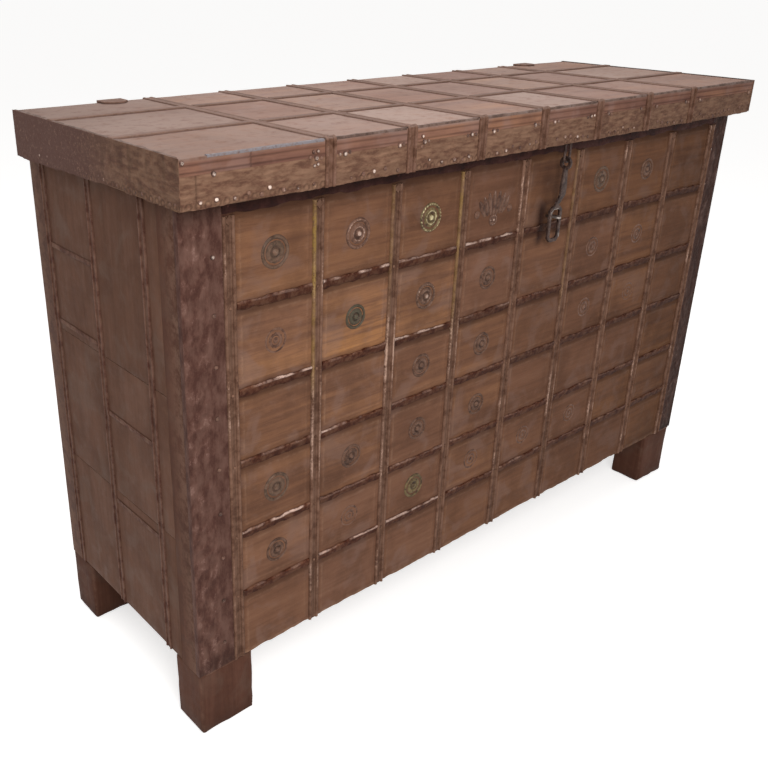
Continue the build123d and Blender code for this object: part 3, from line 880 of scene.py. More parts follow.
@dataclass
class Finishes:
    """Every material of the chest, built once."""

    # Indian rosewood boards of the front, hand planed and waxed: broad figure with golden rubbed patches.
    front: Material = built(
        Wood(
            "rosewood_planed_waxed", *("593d2e", "735140", "84614f", "a5744b"), Grain.LEVEL,
            grain_mm=9.0, contrast=0.4, stain="4c3327", bloom="80655a", bloom_share=0.4,
        )
    )
    # The same wood on the ends, drawn darker than the front as painted shade of the end, which the light
    # reaches less; smoother from handling, with quiet figure.
    end: Material = built(
        Wood(
            "rosewood_end_boards", *("573c2f", "694b3d", "76584a", "825f4a"), Grain.UPRIGHT,
            grain_mm=12.0, contrast=0.45, stain="4b3228", bloom="6e594e", bloom_share=0.4,
            worn_colour="7c6252",
        )
    )
    # Lid boards, waxed and then left under dust: reddish edges, and tops under a pale pinkish film.
    lid: Material = built(
        Wood(
            "rosewood_lid_dusty", *("64443a", "7c594e", "8d6a5d", "a57656"), Grain.LEVEL,
            grain_mm=9.0, contrast=0.55, stain="583c32", bloom="8c7068", bloom_share=0.4,
            dust="a99389", dustiness=0.82, roughness=0.72,
        )
    )
    # Posts and feet: sheesham, reddish brown, end grain worn soft.
    post: Material = built(
        Wood(
            "sheesham_post_oiled", *("432a20", "58392d", "644437", "704b3c"), Grain.UPRIGHT,
            grain_mm=10.0, contrast=0.55, stain="42271e", bloom="5f483d", bloom_share=0.4,
            worn_colour="86695a",
        )
    )
    # Inside and back boards: mango wood, sawn and never finished.
    inner: Material = built(
        Wood(
            "mango_sawn_unfinished", *("5b4334", "7a5c48", "94735b", "a27f60"), Grain.LEVEL,
            grain_mm=10.0, stain="5e4636", bloom="8c7868", bloom_share=0.18, roughness=0.75,
        )
    )
    # Forged iron straps, oxidised to the brown of the wood: beads rubbed pinkish, the left bead's outside also
    # as a painted highlight, and gilt traces where warm.
    strap: Material = built(
        Metal(
            "iron_forged_oxidised", *("573b2e", "6d4f3f", "7a5b4b", "ac8d7c"),
            second="937540", bare_level=0.42,
        )
    )
    # Straps and bands of the ends: the same iron drawn darker, as painted shade of the ends, and hardly rubbed.
    strap_end: Material = built(
        Metal("iron_forged_greasy", "4d2f25", "64463a", "705345", "7a5c50", bare_level=0.35)
    )
    # Ledge bands: iron with a red-brown crust whose upper lip is rubbed, and chipped pale where warm.
    band: Material = built(
        Metal(
            "iron_band_crusted", *("37180d", "4f2b1d", "664534", "8a6553"),
            second="cdb0a2", bare_level=0.55, crust_mm=6.0, bump_mm=0.8,
        )
    )
    # Corner sheets: thin iron sheet, hammered with scrollwork, dark red brown with paler high spots.
    sheet: Material = built(
        Metal(
            "iron_sheet_hammered", *("492d26", "5d3f36", "6c4e44", "8b6c62"),
            bare_level=0.5, crust_mm=7.0, upright=0.45, bump_mm=0.9,
        )
    )
    # Sheet under the rim: the same iron, drawn dark with dirt and the painted shade of the rim.
    shaded: Material = built(
        Metal("iron_sheet_sooty", "2c1412", "40221e", "50302a", "5f4339", bare_level=0.3, crust_mm=14.0)
    )
    # Rim sheets: brass sheet pressed over the rim, gone brown, its high spots light, reddish where warm.
    rim: Material = built(
        Metal(
            "brass_sheet_pressed", *("68483a", "7f5e4b", "8f6d58", "cfb09a"),
            second="664941", bare_level=0.6, crust_mm=11.0, upright=2.6, bump_mm=0.3,
        )
    )
    # Lip of the rim sheets folded on to the lid: tin that shows bluish where the brown has gone.
    lip: Material = built(
        Metal(
            "tin_lip_folded", *("54423b", "6b554c", "7e6a62", "8a7d7b"),
            second="807b7f", bare_level=0.6, crust_mm=8.0,
        )
    )
    # Straps and bands over the lid, iron, brown on the edge and under dust on top.
    lid_iron: Material = built(
        Metal("iron_lid_dusty", "4f3427", "67493a", "755648", "99796a", bare_level=0.4, dust="7d655b")
    )
    # Brass rosettes that are still bright: yellow metal with brown in the hollows.
    bright: Material = built(
        Metal(
            "brass_embossed_rubbed", *("3a2818", "655334", "7b6946", "c4b68e"),
            bare_level=0.6, crust_mm=4.0, metallic=0.2, bare_metallic=0.5, roughness=0.5, sheen=0.3,
        )
    )
    # Brass rosettes gone dull: brown patina rubbed pinkish on the rings, greenish where warm.
    dull: Material = built(
        Metal(
            "brass_embossed_patinated", *("452c21", "67493a", "785848", "bda192"),
            second="534d3d", bare_level=0.55, crust_mm=5.0, roughness=0.5, sheen=0.2,
        )
    )
    # Nail heads: forged iron nails, domed, polished by touch, their pale tops partly a painted highlight.
    nails: Material = built(
        Metal(
            "iron_nail_domed", *("3d251b", "65463a", "7d5c4a", "e0cabc"),
            bare_level=0.5, crust_mm=5.0, sheen=0.4,
        )
    )
    # Hasp and staples: forged iron, blackened, grey where the parts rub.
    forged: Material = built(
        Metal(
            "iron_forged_blackened", *("231815", "3d2c27", "57453d", "a39891"),
            bare_level=0.5, crust_mm=6.0, metallic=0.2, bare_metallic=0.6, roughness=0.45, sheen=0.25,
        )
    )


# Sub-assemblies


@dataclass
class Layout:
    """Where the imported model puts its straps, bands and walls."""

    columns: int = 8
    rows: int = 6
    lid_strap_count: int = 7
    grime_and_shade_limit: float = 1.55

    def __post_init__(self) -> None:
        """Reads the boxes of the nodes."""
        self.straps = [self.span(f"front_strap_{number}", 0) for number in range(1, self.columns + 2)]
        self.bands = [self.span(f"front_band_{number}", 2) for number in range(1, self.rows)]
        self.lid_straps = [self.span(f"lid_strap_{number}", 0) for number in range(1, self.lid_strap_count + 1)]
        self.front, _ = self.span("front_boards", 1)
        self.skirt, _ = self.span("front_boards", 2)
        self.strip, _ = self.span("top_strip", 2)
        self.rim_line, _ = self.span("lid_rim_front", 2)

    @staticmethod
    def span(name: str, axis: int) -> Limits:
        """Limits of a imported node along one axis."""
        low, high = node_box(name)
        return low[axis], high[axis]

    def grime_and_shade(self, points: np.ndarray) -> np.ndarray:
        """Painted shadow of the hasp's arm and loop on the front, with soiling beside the loop.

        Args:
            points: Places on the front, one row each.

        Returns:
            How dirty and how shaded each place is drawn.
        """
        low, high = node_box("hasp")
        across, up = points[:, 0] - (low[0] + high[0]) / 2, points[:, 2]
        arm = 0.6 * ease(up, high[2] - 95.0, high[2] - 30.0) * ridge(across, -8.0, 30.0)
        loop = ease(up, low[2] - 16.0, low[2] + 6.0) * (1 - ease(up, low[2] + 60, low[2] + 90))
        return np.clip(arm + 1.6 * loop * ridge(across, -20.0, 14.0), 0, self.grime_and_shade_limit)

    def cells(self) -> list[tuple[int, int, Limits, Limits]]:
        """Finds every panel of the front.

        Returns:
            Column, row, X limits and Z limits of each.
        """
        lower = [high for _, high in self.bands] + [self.skirt]
        upper = [self.strip] + [low for low, _ in self.bands]
        found = []
        for column in range(self.columns):
            across = (self.straps[column][1], self.straps[column + 1][0])
            for row in range(self.rows):
                found.append((column + 1, row + 1, across, (lower[row], upper[row])))
        return found


@dataclass
class FrontWall:
    """Boards of the front with a worked panel in each cell."""

    layout: Layout
    finishes: Finishes
    frame_inset: float = 9.0
    frame_width: float = 2.2
    frame_height: float = 0.9
    field_reach: float = 40.0  # how far in from its edge a panel goes on rising
    pillow: float = 0.7
    sunk: float = 1.3  # how far a panel is let in beside a strap and under a band
    edge_offsets: tuple = (0.0, 3.0, 6.0, 7.6, 9.0, 10.4, 12.0)  # grid lines along each edge of a panel
    step: float = 9.0
    closest: float = 0.8  # least gap between grid lines
    wave: float = 0.5
    ragged: float = 3.0
    ragged_height: float = 9.0
    shading: tuple = (0.22, -0.04, 0.03, 0.03, 0.03, 0.08)  # how much darker each row is drawn; the first row's share is painted shade under the rim
    golden_cell: Limits = (1.9, 2.1)  # column and row round which the rubbed wood is golden

    def grid_lines(self, spans: Sequence[Limits], low: float, high: float) -> np.ndarray:
        """Grid lines that follow the edges and frames of the panels.

        Args:
            spans: Limits of each panel along this axis.
            low: First limit of the wall.
            high: Last limit of the wall.

        Returns:
            Places of the lines.
        """
        places = [low, high]
        inset = self.edge_offsets[-1]
        for start, finish in spans:
            places += [start + offset for offset in self.edge_offsets]
            places += [finish - offset for offset in self.edge_offsets]
            places += np.arange(start + inset + self.step, finish - inset - self.step / 2, self.step).tolist()
        kept = [place for place in sorted(places) if low <= place <= high]
        thinned = [kept[0]]
        for place in kept[1:]:
            if place - thinned[-1] > self.closest:
                thinned.append(place)
        thinned[-1] = high
        return np.array(thinned)

    def panel(self, spot: np.ndarray, row: int, across: Limits, upright: Limits) -> tuple[np.ndarray, ...]:
        """Works one panel: a raised frame round a rounded field.

        Args:
            spot: Places in the panel, one row each.
            row: Its row, from 1.
            across: Its X limits.
            upright: Its Z limits.

        Returns:
            Relief, worn and deep of each place, and how far down the panel it is.
        """
        left, right = spot[:, 0] - across[0], across[1] - spot[:, 0]
        bottom, top = spot[:, 2] - upright[0], upright[1] - spot[:, 2]
        near = np.minimum(np.minimum(left, right), np.minimum(bottom, top))
        sheltered = np.minimum(left, top)
        line = ridge(near, self.frame_inset, self.frame_width)
        crown = ease(near, self.frame_inset, self.field_reach)
        relief = line * self.frame_height + crown * self.pillow - self.sunk * (1 - ease(sheltered, 0.0, 6.0))
        worn = line * np.where(sheltered < 14.0, 0.35, 0.15)
        # Painted shadow: each panel is drawn dark under the band above it and along its left edge beside the
        # strap, a little darker at its right and bottom edges.
        under = (0.95 if row < 4 else 0.65) * (1 - ease(top, 3.0, 14.0)) * (row > 1)
        beside = 0.12 * (1 - ease(np.minimum(right, bottom), 0, 3))
        beside = np.maximum(0.45 * (1 - ease(left, 0.0, 5.0)), beside)
        return relief, worn, np.maximum(under, beside), ease(top, 20.0, 110.0)

    def build(self) -> None:
        """Builds the boards of the front."""
        low, high = node_box("front_boards")
        cells = self.layout.cells()
        xs = self.grid_lines(sorted({cell[2] for cell in cells}), low[0], high[0])
        zs = self.grid_lines(sorted({cell[3] for cell in cells}), low[2], high[2])
        points, faces = box_grid(xs, np.array([low[1], low[1] + 3, high[1]]), zs)
        x, z = points[:, 0], points[:, 2]
        relief, worn, deep, tone, warm = np.zeros((5, len(points)))
        random = np.random.default_rng(7)
        for column, row, across, upright in cells:
            inside = (x >= across[0]) & (x <= across[1]) & (z >= upright[0]) & (z <= upright[1])
            relief[inside], worn[inside], deep[inside], lower = self.panel(points[inside], row, across, upright)
            tone[inside] = random.uniform(-0.08, 0.08) - self.shading[row - 1]
            way = ((column - self.golden_cell[0]) / 1.1, (row - self.golden_cell[1]) / 0.8)
            gold = math.exp(-(way[0] ** 2) - way[1] ** 2)
            warm[inside] = random.uniform(0.0, 0.3) + gold * (0.3 + 0.6 * lower)
        # Painted shade: the boards are drawn darker towards the right end, where the light falls off.
        tone -= 0.5 * ease(x, -350.0, high[0]) + 0.16 * ease(x, 400.0, high[0])
        shade = 0.8 * (1 - ease(self.layout.strip - z, -4.0, 26.0))
        deep = np.maximum(np.maximum(deep, shade), self.layout.grime_and_shade(points))
        relief += self.wave * 2 * (mottled(points, 60.0, 5) - 0.5) + 0.3 * (mottled(points, 9.0, 6) - 0.5)
        hem = np.clip(1 - (z - low[2]) / self.ragged_height, 0, 1)
        moved = points.copy()
        moved[:, 1] -= np.where(points[:, 1] <= low[1] + 0.01, relief, 0.0)
        moved[:, 2] += hem * self.ragged * ease(mottled(points, 26.0, 8), 0.35, 0.8)
        shape = Shape()
        shape.add(moved, faces, worn=np.maximum(worn, hem), deep=deep, tone=tone, warm=warm)
        shape.make("front_boards_panelled", Body.CARCASS, Slot.WOOD, self.finishes.front, ["front_boards"])


@dataclass
class FrontIron:
    """Straps, bands, corner sheets and the sheet along the top of the front."""

    layout: Layout
    finishes: Finishes
    base: float = 1.2
    bead: float = 3.0
    strap_step: float = 7.0
    finial_height: float = 14.0
    nail_radius: float = 2.6
    gilding: dict = field(default_factory=lambda: {2: 1.0, 3: 0.25, 4: 0.65, 6: 0.4})
    bared: dict = field(default_factory=lambda: {1: 0.1, 2: 0.25, 3: 0.35, 4: 0.2})
    bared_level: Limits = (590.0, 55.0)  # level and reach of the stretch that is rubbed bare
    band_step: float = 4.0
    chipping: tuple = (  # how much of the lip of each piece is chipped, band by band
        (0.15, 1.0, 0.3, 1.0, 0.15, 0.05, 0.05, 0.05),
        (1.0, 0.12, 0.7, 0.25, 0.1, 0.1, 0.05, 0.05),
        (0.15, 1.0, 0.15, 0.1, 0.1, 0.05, 0.05, 0.1),
        (0.8, 0.15, 0.2, 0.15, 0.1, 0.1, 0.1, 0.05),
        (0.15, 0.55, 0.7, 0.15, 0.2, 0.1, 0.1, 0.05),
    )
    sheet_grid: tuple[int, int] = (260, 26)  # rows and columns of a corner sheet
    scroll: float = 1.1
    lap: float = 44.0  # where the inner strip of a corner sheet laps the outer one
    turned: float = 1.5  # thickness of the part that is turned on to the end
    right_tone: float = -0.75
    cover_nail_radius: float = 3.4
    cover_nail_inset: float = 53.0
    cover_nail_drop: float = 125.0
    cover_nail_pitch: float = 83.0
    small_nail_radius: float = 2.4
    small_nail_drop: float = 52.0
    small_nail_places: tuple = (38.0, 47.0, 56.0, 63.0)

    def strap_profile(self, width: float) -> tuple[Profile, np.ndarray]:
        """Outline of a strap, rubbed bright on the outside of its left bead as a painted highlight where the
        light falls, and drawn darker on its right as painted shade.

        Args:
            width: Width of the strap.

        Returns:
            The outline, and which of its corners can be gilt.
        """
        profile = beaded_profile(width, self.base, self.bead)
        place = profile.across / profile.across.max()
        steps = [place < -0.7, place < 0, place < 0.7]
        # Painted shade at the strap's right foot, and a painted highlight on the outside of the left bead,
        # where the light falls.
        profile.deep *= np.select(steps, [0.1, 0.6, 0.25], 0.6)
        profile.deep[np.abs(place) < 0.2] = 0.5
        profile.worn = np.where(place < -0.7, 0.75 + 0.14 * profile.worn, profile.worn * 0.85)
        return profile, (place < -0.42) * 1.0

    def straps(self) -> None:
        """Builds the nine upright straps, each with a finial and a nail at every band."""
        front, bands, top = self.layout.front, self.layout.bands, self.layout.strip - 0.5
        for number, (low, high) in enumerate(self.layout.straps, 1):
            shape = Shape()
            middle = (low + high) / 2
            origins = straight((middle, front, self.layout.skirt), (middle, front, top), self.strap_step)
            level = origins[:, 2]
            upper = ease(level, bands[0][0] - 10, bands[0][1] + 30)
            upper += 0.55 * ease(level, bands[1][0] - 60, bands[1][1])
            patchy = 0.3 + 0.7 * ease(mottled(origins, 45.0, number), 0.35, 0.65)
            along = self.gilding.get(number, 0.0) * np.clip(upper * patchy, 0, 1)
            profile, gilt = self.strap_profile(high - low)
            rub = 0.82 + 0.3 * ease(mottled(origins, 60.0, number + 40), 0.45, 0.7)
            rub += self.bared.get(number, 0.0) * ridge(level, *self.bared_level)
            run = Run(profile, origins, (1, 0, 0), (0, -1, 0), sway=0.5, dent=0.7, chip=0.8, seed=20 + number)
            run.add_to(shape, warm=np.outer(along, gilt), rub=rub[:, None])
            self.finial(shape, middle, top)
            for band in bands:
                spot = (middle, front - self.base, sum(band) / 2)
                nail(shape, spot, (0, -1, 0), self.nail_radius, number, wear=0.4)
            name, node = f"beaded_strap_{number}", f"front_strap_{number}"
            shape.make(name, Body.CARCASS, Slot.IRON, self.finishes.strap, [node])

    def finial(self, shape: Shape, middle: float, top: float) -> None:
        """Adds the hammered diamond at the top of a strap.

        Args:
            shape: Shape of the strap.
            middle: Middle of the strap along X.
            top: Upper end of the strap.
        """
        half = self.finial_height / 2
        centre = np.array([middle, self.layout.front, top - half])
        rim = [(half, 0), (0, half), (-half, 0), (0, -half)]
        foot = [centre + np.array([x, 0, z]) for x, z in rim]
        shoulder = [centre + np.array([x, -self.bead, z]) for x, z in rim]
        peak = [centre + np.array([0, -self.base - self.bead, 0])]
        faces: Faces = [(3, 2, 1, 0)]
        for corner in range(4):
            following = (corner + 1) % 4
            faces.append((corner, following, 4 + following, 4 + corner))
            faces.append((4 + corner, 4 + following, 8))
        shape.add(np.array(foot + shoulder + peak), faces, worn=[0] * 4 + [0.3] * 4 + [0.6], deep=0.3)

    @staticmethod
    def ledge_profile(height: float, proud: float) -> Profile:
        """Outline of a band: a face that leans out to a rolled lip.

        Args:
            height: Height of the band.
            proud: How far its lip stands out.

        Returns:
            The outline.
        """
        half = height / 2
        corners = (
            (-half, -FOOT, 0.0, 1.0),
            (-half, 1.6, 0.0, 0.9),
            (-half + 3.0, 2.2, 0.0, 0.6),
            (-1.0, 3.0, 0.1, 0.45),
            (half - 5.0, 4.0, 0.3, 0.4),
            (half - 3.2, proud * 0.9, 0.75, 0.1),
            (half - 1.6, proud, 1.0, 0.0),
            (half - 0.5, proud - 0.9, 1.0, 0.0),
            (half, proud - 2.2, 0.9, 0.0),
            (half, 1.5, 0.6, 0.1),
            (half, -FOOT, 0.3, 0.2),
        )
        return Profile(*np.array(corners).T)

    def band_piece(self, shape: Shape, profile: Profile, number: int, column: int) -> None:
        """Adds the piece of a band between two straps.

        Args:
            shape: Shape of the band.
            profile: Outline of the band.
            number: Number of the band, from 1.
            column: Column of the piece, from 0.
        """
        layout, seed = self.layout, number * 10 + column
        level = sum(layout.bands[number - 1]) / 2
        start, finish = layout.straps[column][1] + 0.5, layout.straps[column + 1][0] - 0.5
        origins = straight((start, layout.front, level), (finish, layout.front, level), self.band_step)
        origins[:, 2] += 0.8 * (rough(origins, 50.0, number) - 0.5)
        # Painted shade: the pieces are drawn darker column by column towards the right, where the light falls
        # off; the lower bands are drawn lighter.
        tone = 0.1 - 0.07 * column + 0.2 * (number > 3)
        fit = {"sway": 0.6, "dent": 1.6, "chip": 2.6, "fray": 2.6, "seed": seed, "tone": tone}
        chipped = self.chipping[number - 1][column] * ease(mottled(origins, 20.0, seed + 3), 0.36, 0.56)
        # The first band takes the painted shadow and soiling of the hasp.
        dirt_and_shade = layout.grime_and_shade(origins) if number == 1 else np.zeros(len(origins))
        warm, grime_and_shade = np.outer(chipped, profile.worn > 0.6), np.outer(dirt_and_shade, profile.out > 0)
        run = Run(profile, origins, (0, 0, 1), (0, -1, 0), **fit)
        run.add_to(shape, warm=warm, grime_and_shade=grime_and_shade, rub=(0.72 + 0.28 * chipped)[:, None])

    def bands(self) -> None:
        """Builds the five level bands, one piece to each column."""
        for number, (low, high) in enumerate(self.layout.bands, 1):
            shape = Shape()
            node = f"front_band_{number}"
            outer, inner = self.layout.span(node, 1)
            profile = self.ledge_profile(high - low, inner - outer)
            for column in range(self.layout.columns):
                self.band_piece(shape, profile, number, column)
            shape.make(f"ledge_band_{number}", Body.CARCASS, Slot.IRON, self.finishes.band, [node])

    def corner_sheet(self, side: Side) -> None:
        """Builds one corner sheet with hammered scrollwork, turned round the corner.

        Args:
            side: End of the chest.
        """
        low, high = node_box(f"stile_cover_{side.value}")
        corner, inner = side.split(low, high)
        right = side is Side.RIGHT
        seed = 60 if right else 50
        xs = np.linspace(0, abs(inner - corner), self.sheet_grid[1])
        grid = np.meshgrid(xs, np.linspace(low[2], high[2], self.sheet_grid[0]))
        place, up = grid[0].ravel(), grid[1].ravel()
        flat = np.column_stack([place, np.zeros(len(place)), up])
        raised = ease(mottled(flat, 17.0, seed) + 0.5 * rough(flat, 6.0, seed + 4), 0.55, 0.95)
        raised = np.maximum(raised * (1 - 0.6 * (place > self.lap)), ridge(place, self.lap, 1.6))
        border = 1 - ease(np.minimum(place, xs[-1] - place), 2.0, 7.0)
        lift = self.scroll * np.maximum(raised, border * 0.8) - 0.6
        x = corner - side.way * place
        outer = np.column_stack([x, low[1] + 0.6 - lift, up])
        back = np.column_stack([x, np.full(len(x), low[1] + 1.5), up])
        # Painted shade under the rim at the top; darker also towards the bottom, and over the outer part of the
        # right sheet.
        soot_and_shade = 0.5 * ease(up, high[2] - 90, high[2] - 30) + 0.6 * (1 - ease(up, low[2] + 5, low[2] + 45))
        soot_and_shade += 0.5 * right * (place < self.lap)
        worn = np.maximum(raised * 0.8, border * (0.75 * (place > 30.0)))
        deep = (1 - raised) * 0.35 + soot_and_shade
        shape = Shape()
        add_plate(shape, outer, back, self.sheet_grid, right, worn=worn, deep=deep, seed=seed * 0.1)
        start, finish = sorted((corner, corner - side.way * self.turned))
        box = (start, low[1] + 0.4, low[2]), (finish, high[1], high[2])
        Board(*box, radius=0.7, step=9.0, wave=0.3, chip=0.3, seed=seed + 1).add_to(shape)
        shape.scale_last("worn", 0.0)
        shape.values["deep"][-1] += 0.12
        shape.values["tone"] = [tone + self.right_tone * right for tone in shape.values["tone"]]
        name, node = f"corner_sheet_{side.value}", f"stile_cover_{side.value}"
        shape.make(name, Body.CARCASS, Slot.SHEET, self.finishes.sheet, [node])
        self.cover_nails(side, low, high, seed)

    def cover_nails(self, side: Side, low: np.ndarray, high: np.ndarray, seed: int) -> None:
        """Builds the nails of one corner sheet: a row down it, and four small ones near its top.

        Args:
            side: End of the chest.
            low: Lowest corner of the sheet.
            high: Highest corner of the sheet.
            seed: Picks their places and wear.
        """
        heads = Shape()
        corner, _ = side.split(low, high)
        level = high[2] - self.cover_nail_drop
        random = np.random.default_rng(seed)
        while level > low[2] + 20:
            inset = self.cover_nail_inset + random.uniform(-1.5, 1.5)
            wear = 1.0 if level > high[2] - 130.0 else random.uniform(0.15, 0.75)
            spot = (corner - side.way * inset, low[1] + 0.2, level)
            nail(heads, spot, (0, -1, 0), self.cover_nail_radius, int(level), wear)
            level -= self.cover_nail_pitch * random.uniform(0.94, 1.06)
        for place in self.small_nail_places:
            drop = self.small_nail_drop + 3.0 * math.sin(place)
            spot = (corner - side.way * place, low[1] + 0.3, high[2] - drop)
            nail(heads, spot, (0, -1, 0), self.small_nail_radius, int(place), 0.35)
        heads.make(f"corner_sheet_nails_{side.value}", Body.CARCASS, Slot.IRON, self.finishes.nails)

    def head_sheet(self) -> None:
        """Builds the sheet along the top of the front, with a ragged lower edge, drawn darker towards the top
        as painted shade under the rim.
        """
        low, high = node_box("top_strip")
        shape = Shape()
        Board(low, high, radius=0.7, step=8.0, wave=0.5, chip=0.5, seed=71, tone=-0.1).add_to(shape)
        points = shape.points[-1]
        ragged = 5.0 * ease(mottled(points, 30.0, 72), 0.35, 0.7)
        points[:, 2] += np.where(points[:, 2] < low[2] + 3, ragged, 0.0)
        # Painted shade of the rim: darker towards the top.
        shape.values["deep"][-1] = 0.45 + 0.45 * ease(points[:, 2], low[2], low[2] + 22.0)
        for number, strap in enumerate(self.layout.straps):
            spot = (sum(strap) / 2, low[1] + 0.3, low[2] + 14.0)
            nail(shape, spot, (0, -1, 0), self.nail_radius, number, wear=0.3)
        shape.make("head_sheet", Body.CARCASS, Slot.SHEET, self.finishes.shaded, ["top_strip"])

    def build(self) -> None:
        """Builds all the ironwork of the front."""
        self.straps()
        self.bands()
        for side in Side:
            self.corner_sheet(side)
        self.head_sheet()


class RosetteState(Enum):
    """How a rosette has aged, as its warm value, wear, height, tone and size."""

    BRIGHT = (0.0, 1.0, 1.0, 0.0, 0.98)
    SILVERED = (0.0, 1.0, 1.0, 0.2, 0.97)
    FADED = (0.0, 0.62, 0.85, -0.1, 0.93)
    WORN = (0.35, 0.7, 0.85, -0.05, 1.0)
    MOSSY = (1.0, 0.45, 1.0, -0.3, 0.82)
    RINGED = (0.15, 0.95, 1.0, -0.02, 0.92)
    TARNISHED = (0.1, 0.6, 0.95, -0.15, 0.86)
    PALE = (0.0, 0.45, 0.38, 0.0, 0.82)


@dataclass
class Rosettes:
    """Embossed discs nailed to the panels, and the lotus plate."""

    layout: Layout
    finishes: Finishes
    radius: float = 27.0
    drop: float = 11.5
    # Row by row, the first letter of each rosette's state from the left, and a dot for a panel without one.
    rows: tuple = ("WSB..WT.", "PMRT.PP.", "..TT.PP.", "WTTT....", "TPFPPP..")
    # From the edge inwards: share of the radius, height, worn, deep, lobes and lobe height.
    rings: tuple = (
        (1.00, 0.5, 0.0, 1.0, 0, 0.0),
        (0.96, 0.8, 0.0, 0.9, 0, 0.0),
        (0.91, 2.2, 0.7, 0.1, 0, 0.0),
        (0.86, 3.0, 1.0, 0.0, 24, 0.8),
        (0.79, 2.2, 0.4, 0.3, 24, 0.8),
        (0.73, 0.7, 0.0, 1.0, 0, 0.0),
        (0.66, 0.6, 0.0, 0.8, 0, 0.0),
        (0.58, 1.2, 0.1, 0.5, 12, 1.2),
        (0.50, 2.4, 0.6, 0.2, 12, 1.2),
        (0.42, 3.0, 0.9, 0.0, 0, 0.0),
        (0.35, 2.2, 0.3, 0.5, 0, 0.0),
        (0.29, 0.9, 0.0, 1.0, 0, 0.0),
        (0.23, 1.4, 0.2, 0.8, 0, 0.0),
        (0.17, 4.0, 0.8, 0.0, 0, 0.0),
        (0.09, 5.0, 1.0, 0.0, 0, 0.0),
        (0.02, 5.3, 1.0, 0.0, 0, 0.0),
    )
    flutes: int = 7
    flute_turn: float = 10.0  # degrees from one flute of the lotus to the next
    flute_pitch: float = 7.5
    flute_half: float = 6.2
    flute_grid: tuple[int, int] = (14, 9)
    knob_reach: float = 44.0

    def centre(self, column: int, row: int) -> tuple[float, float]:
        """Middle of a panel, with the first row hung a little lower.

        Args:
            column: Column of the panel, from 1.
            row: Row of the panel, from 1.

        Returns:
            Its X and Z.
        """
        straps, bands = self.layout.straps, self.layout.bands
        x = (sum(straps[column - 1]) + sum(straps[column])) / 4
        lower = sum(bands[row - 1]) / 2
        if row == 1:
            return x, (self.layout.rim_line + lower) / 2 - self.drop
        return x, (sum(bands[row - 2]) / 2 + lower) / 2

    def rosette(self, column: int, row: int, state: RosetteState) -> None:
        """Builds one rosette.

        Args:
            column: Column of the panel, from 1.
            row: Row of the panel, from 1.
            state: How it has aged.
        """
        warm, wear, height, tone, share = state.value
        x, z = self.centre(column, row)
        size = self.radius * share
        rings = [(size, -0.6, 0.0, 1.0)]
        for part, rise, worn, deep, lobes, lift in self.rings:
            rings.append((size * part, rise * height, worn, deep, lobes, lift * height))
        shape = Shape()
        look = {"spin": column * 0.3, "seed": column * 7 + row, "dent": 0.5, "tone": tone}
        Disc((x, self.layout.front, z), (0, -1, 0), rings, **look).add_to(shape, warm=warm, wear=wear)
        if state in (RosetteState.BRIGHT, RosetteState.FADED):
            shape.make(f"rosette_c{column}_r{row}", Body.CARCASS, Slot.BRASS, self.finishes.bright)
        else:
            shape.make(f"rosette_c{column}_r{row}", Body.CARCASS, Slot.DULL, self.finishes.dull)

    def flute(self, shape: Shape, number: int, foot: np.ndarray, height: float) -> None:
        """Adds one flute of the lotus, rounded across and pointed at both ends.

        Args:
            shape: Shape of the plate.
            number: Number of the flute from the left.
            foot: Middle of the plate's base, on the boards.
            height: Height of the plate above its base.
        """
        middle = self.flutes // 2
        turn = math.radians(self.flute_turn * (number - middle))
        length = height - 14.0 - 1.5 * abs(number - middle) ** 1.7
        way = np.array([math.sin(turn), 0, math.cos(turn)])
        across = np.array([math.cos(turn), 0, -math.sin(turn)])
        root = np.array([(number - middle) * self.flute_pitch, 0.0, 10.0])
        rows, columns = self.flute_grid
        points, worn, deep = [], [], []
        for along in np.linspace(0, 1, rows):
            half = self.flute_half * math.sin(math.pi * min(0.985, 0.1 + 0.88 * along) ** 1.2) ** 0.6
            for place in np.linspace(-1, 1, columns):
                bulge = (1 - place**2) ** 0.6 * (1.0 + 1.6 * math.sin(math.pi * along))
                spot = root + way * along * length + across * place * half
                points.append(spot + np.array([0, -0.6 - bulge, 0]))
                worn.append(0.9 * (1 - abs(place)) * (0.4 + 0.6 * along))
                deep.append(0.25 + 0.75 * abs(place) ** 2)
        outer = np.array(points) + foot
        back = outer.copy()
        back[:, 1] = foot[1]
        add_plate(shape, outer, back, self.flute_grid, worn=worn, deep=deep, seed=0.4 * number)

    def lotus(self) -> None:
        """Builds the lotus plate: upright flutes over a base, with a knob at each side."""
        low, high = node_box("lotus_plate")
        foot = np.array([(low[0] + high[0]) / 2, self.layout.front, low[2] + 6.0])
        shape = Shape()
        for number in range(self.flutes):
            self.flute(shape, number, foot, high[2] - foot[2])
        petals = (8, 3.0, 0.9, 0, 10, 0.8)
        base = ((11, 0, 0, 1), (11, 1.4, 0.3, 0.6), petals, (4.5, 2.2, 0.2, 0.8), (1, 3.9, 1, 0))
        Disc(foot + np.array([0, 0, 1.0]), (0, -1, 0), base, seed=4).add_to(shape)
        knob = ((7, 0, 0, 1), (7, 0.8, 0.2, 0.6), (5, 2.6, 0.8, 0), (1, 3.4, 1, 0))
        for side in Side:
            spot = foot + np.array([side.way * self.knob_reach, 0, 16.0])
            Disc(spot, (0, -1, 0), knob, sides=20, seed=9).add_to(shape, wear=0.65)
        shape.make("lotus_plate_beaten", Body.CARCASS, Slot.DULL, self.finishes.dull, ["lotus_plate"])

    def build(self) -> None:
        """Builds every rosette and the lotus plate."""
        states = {state.name[0]: state for state in RosetteState}
        for row, letters in enumerate(self.rows, 1):
            for column, letter in enumerate(letters, 1):
                if letter in states:
                    self.rosette(column, row, states[letter])
        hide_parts("rosettes_brass", "rosettes_dark")
        self.lotus()


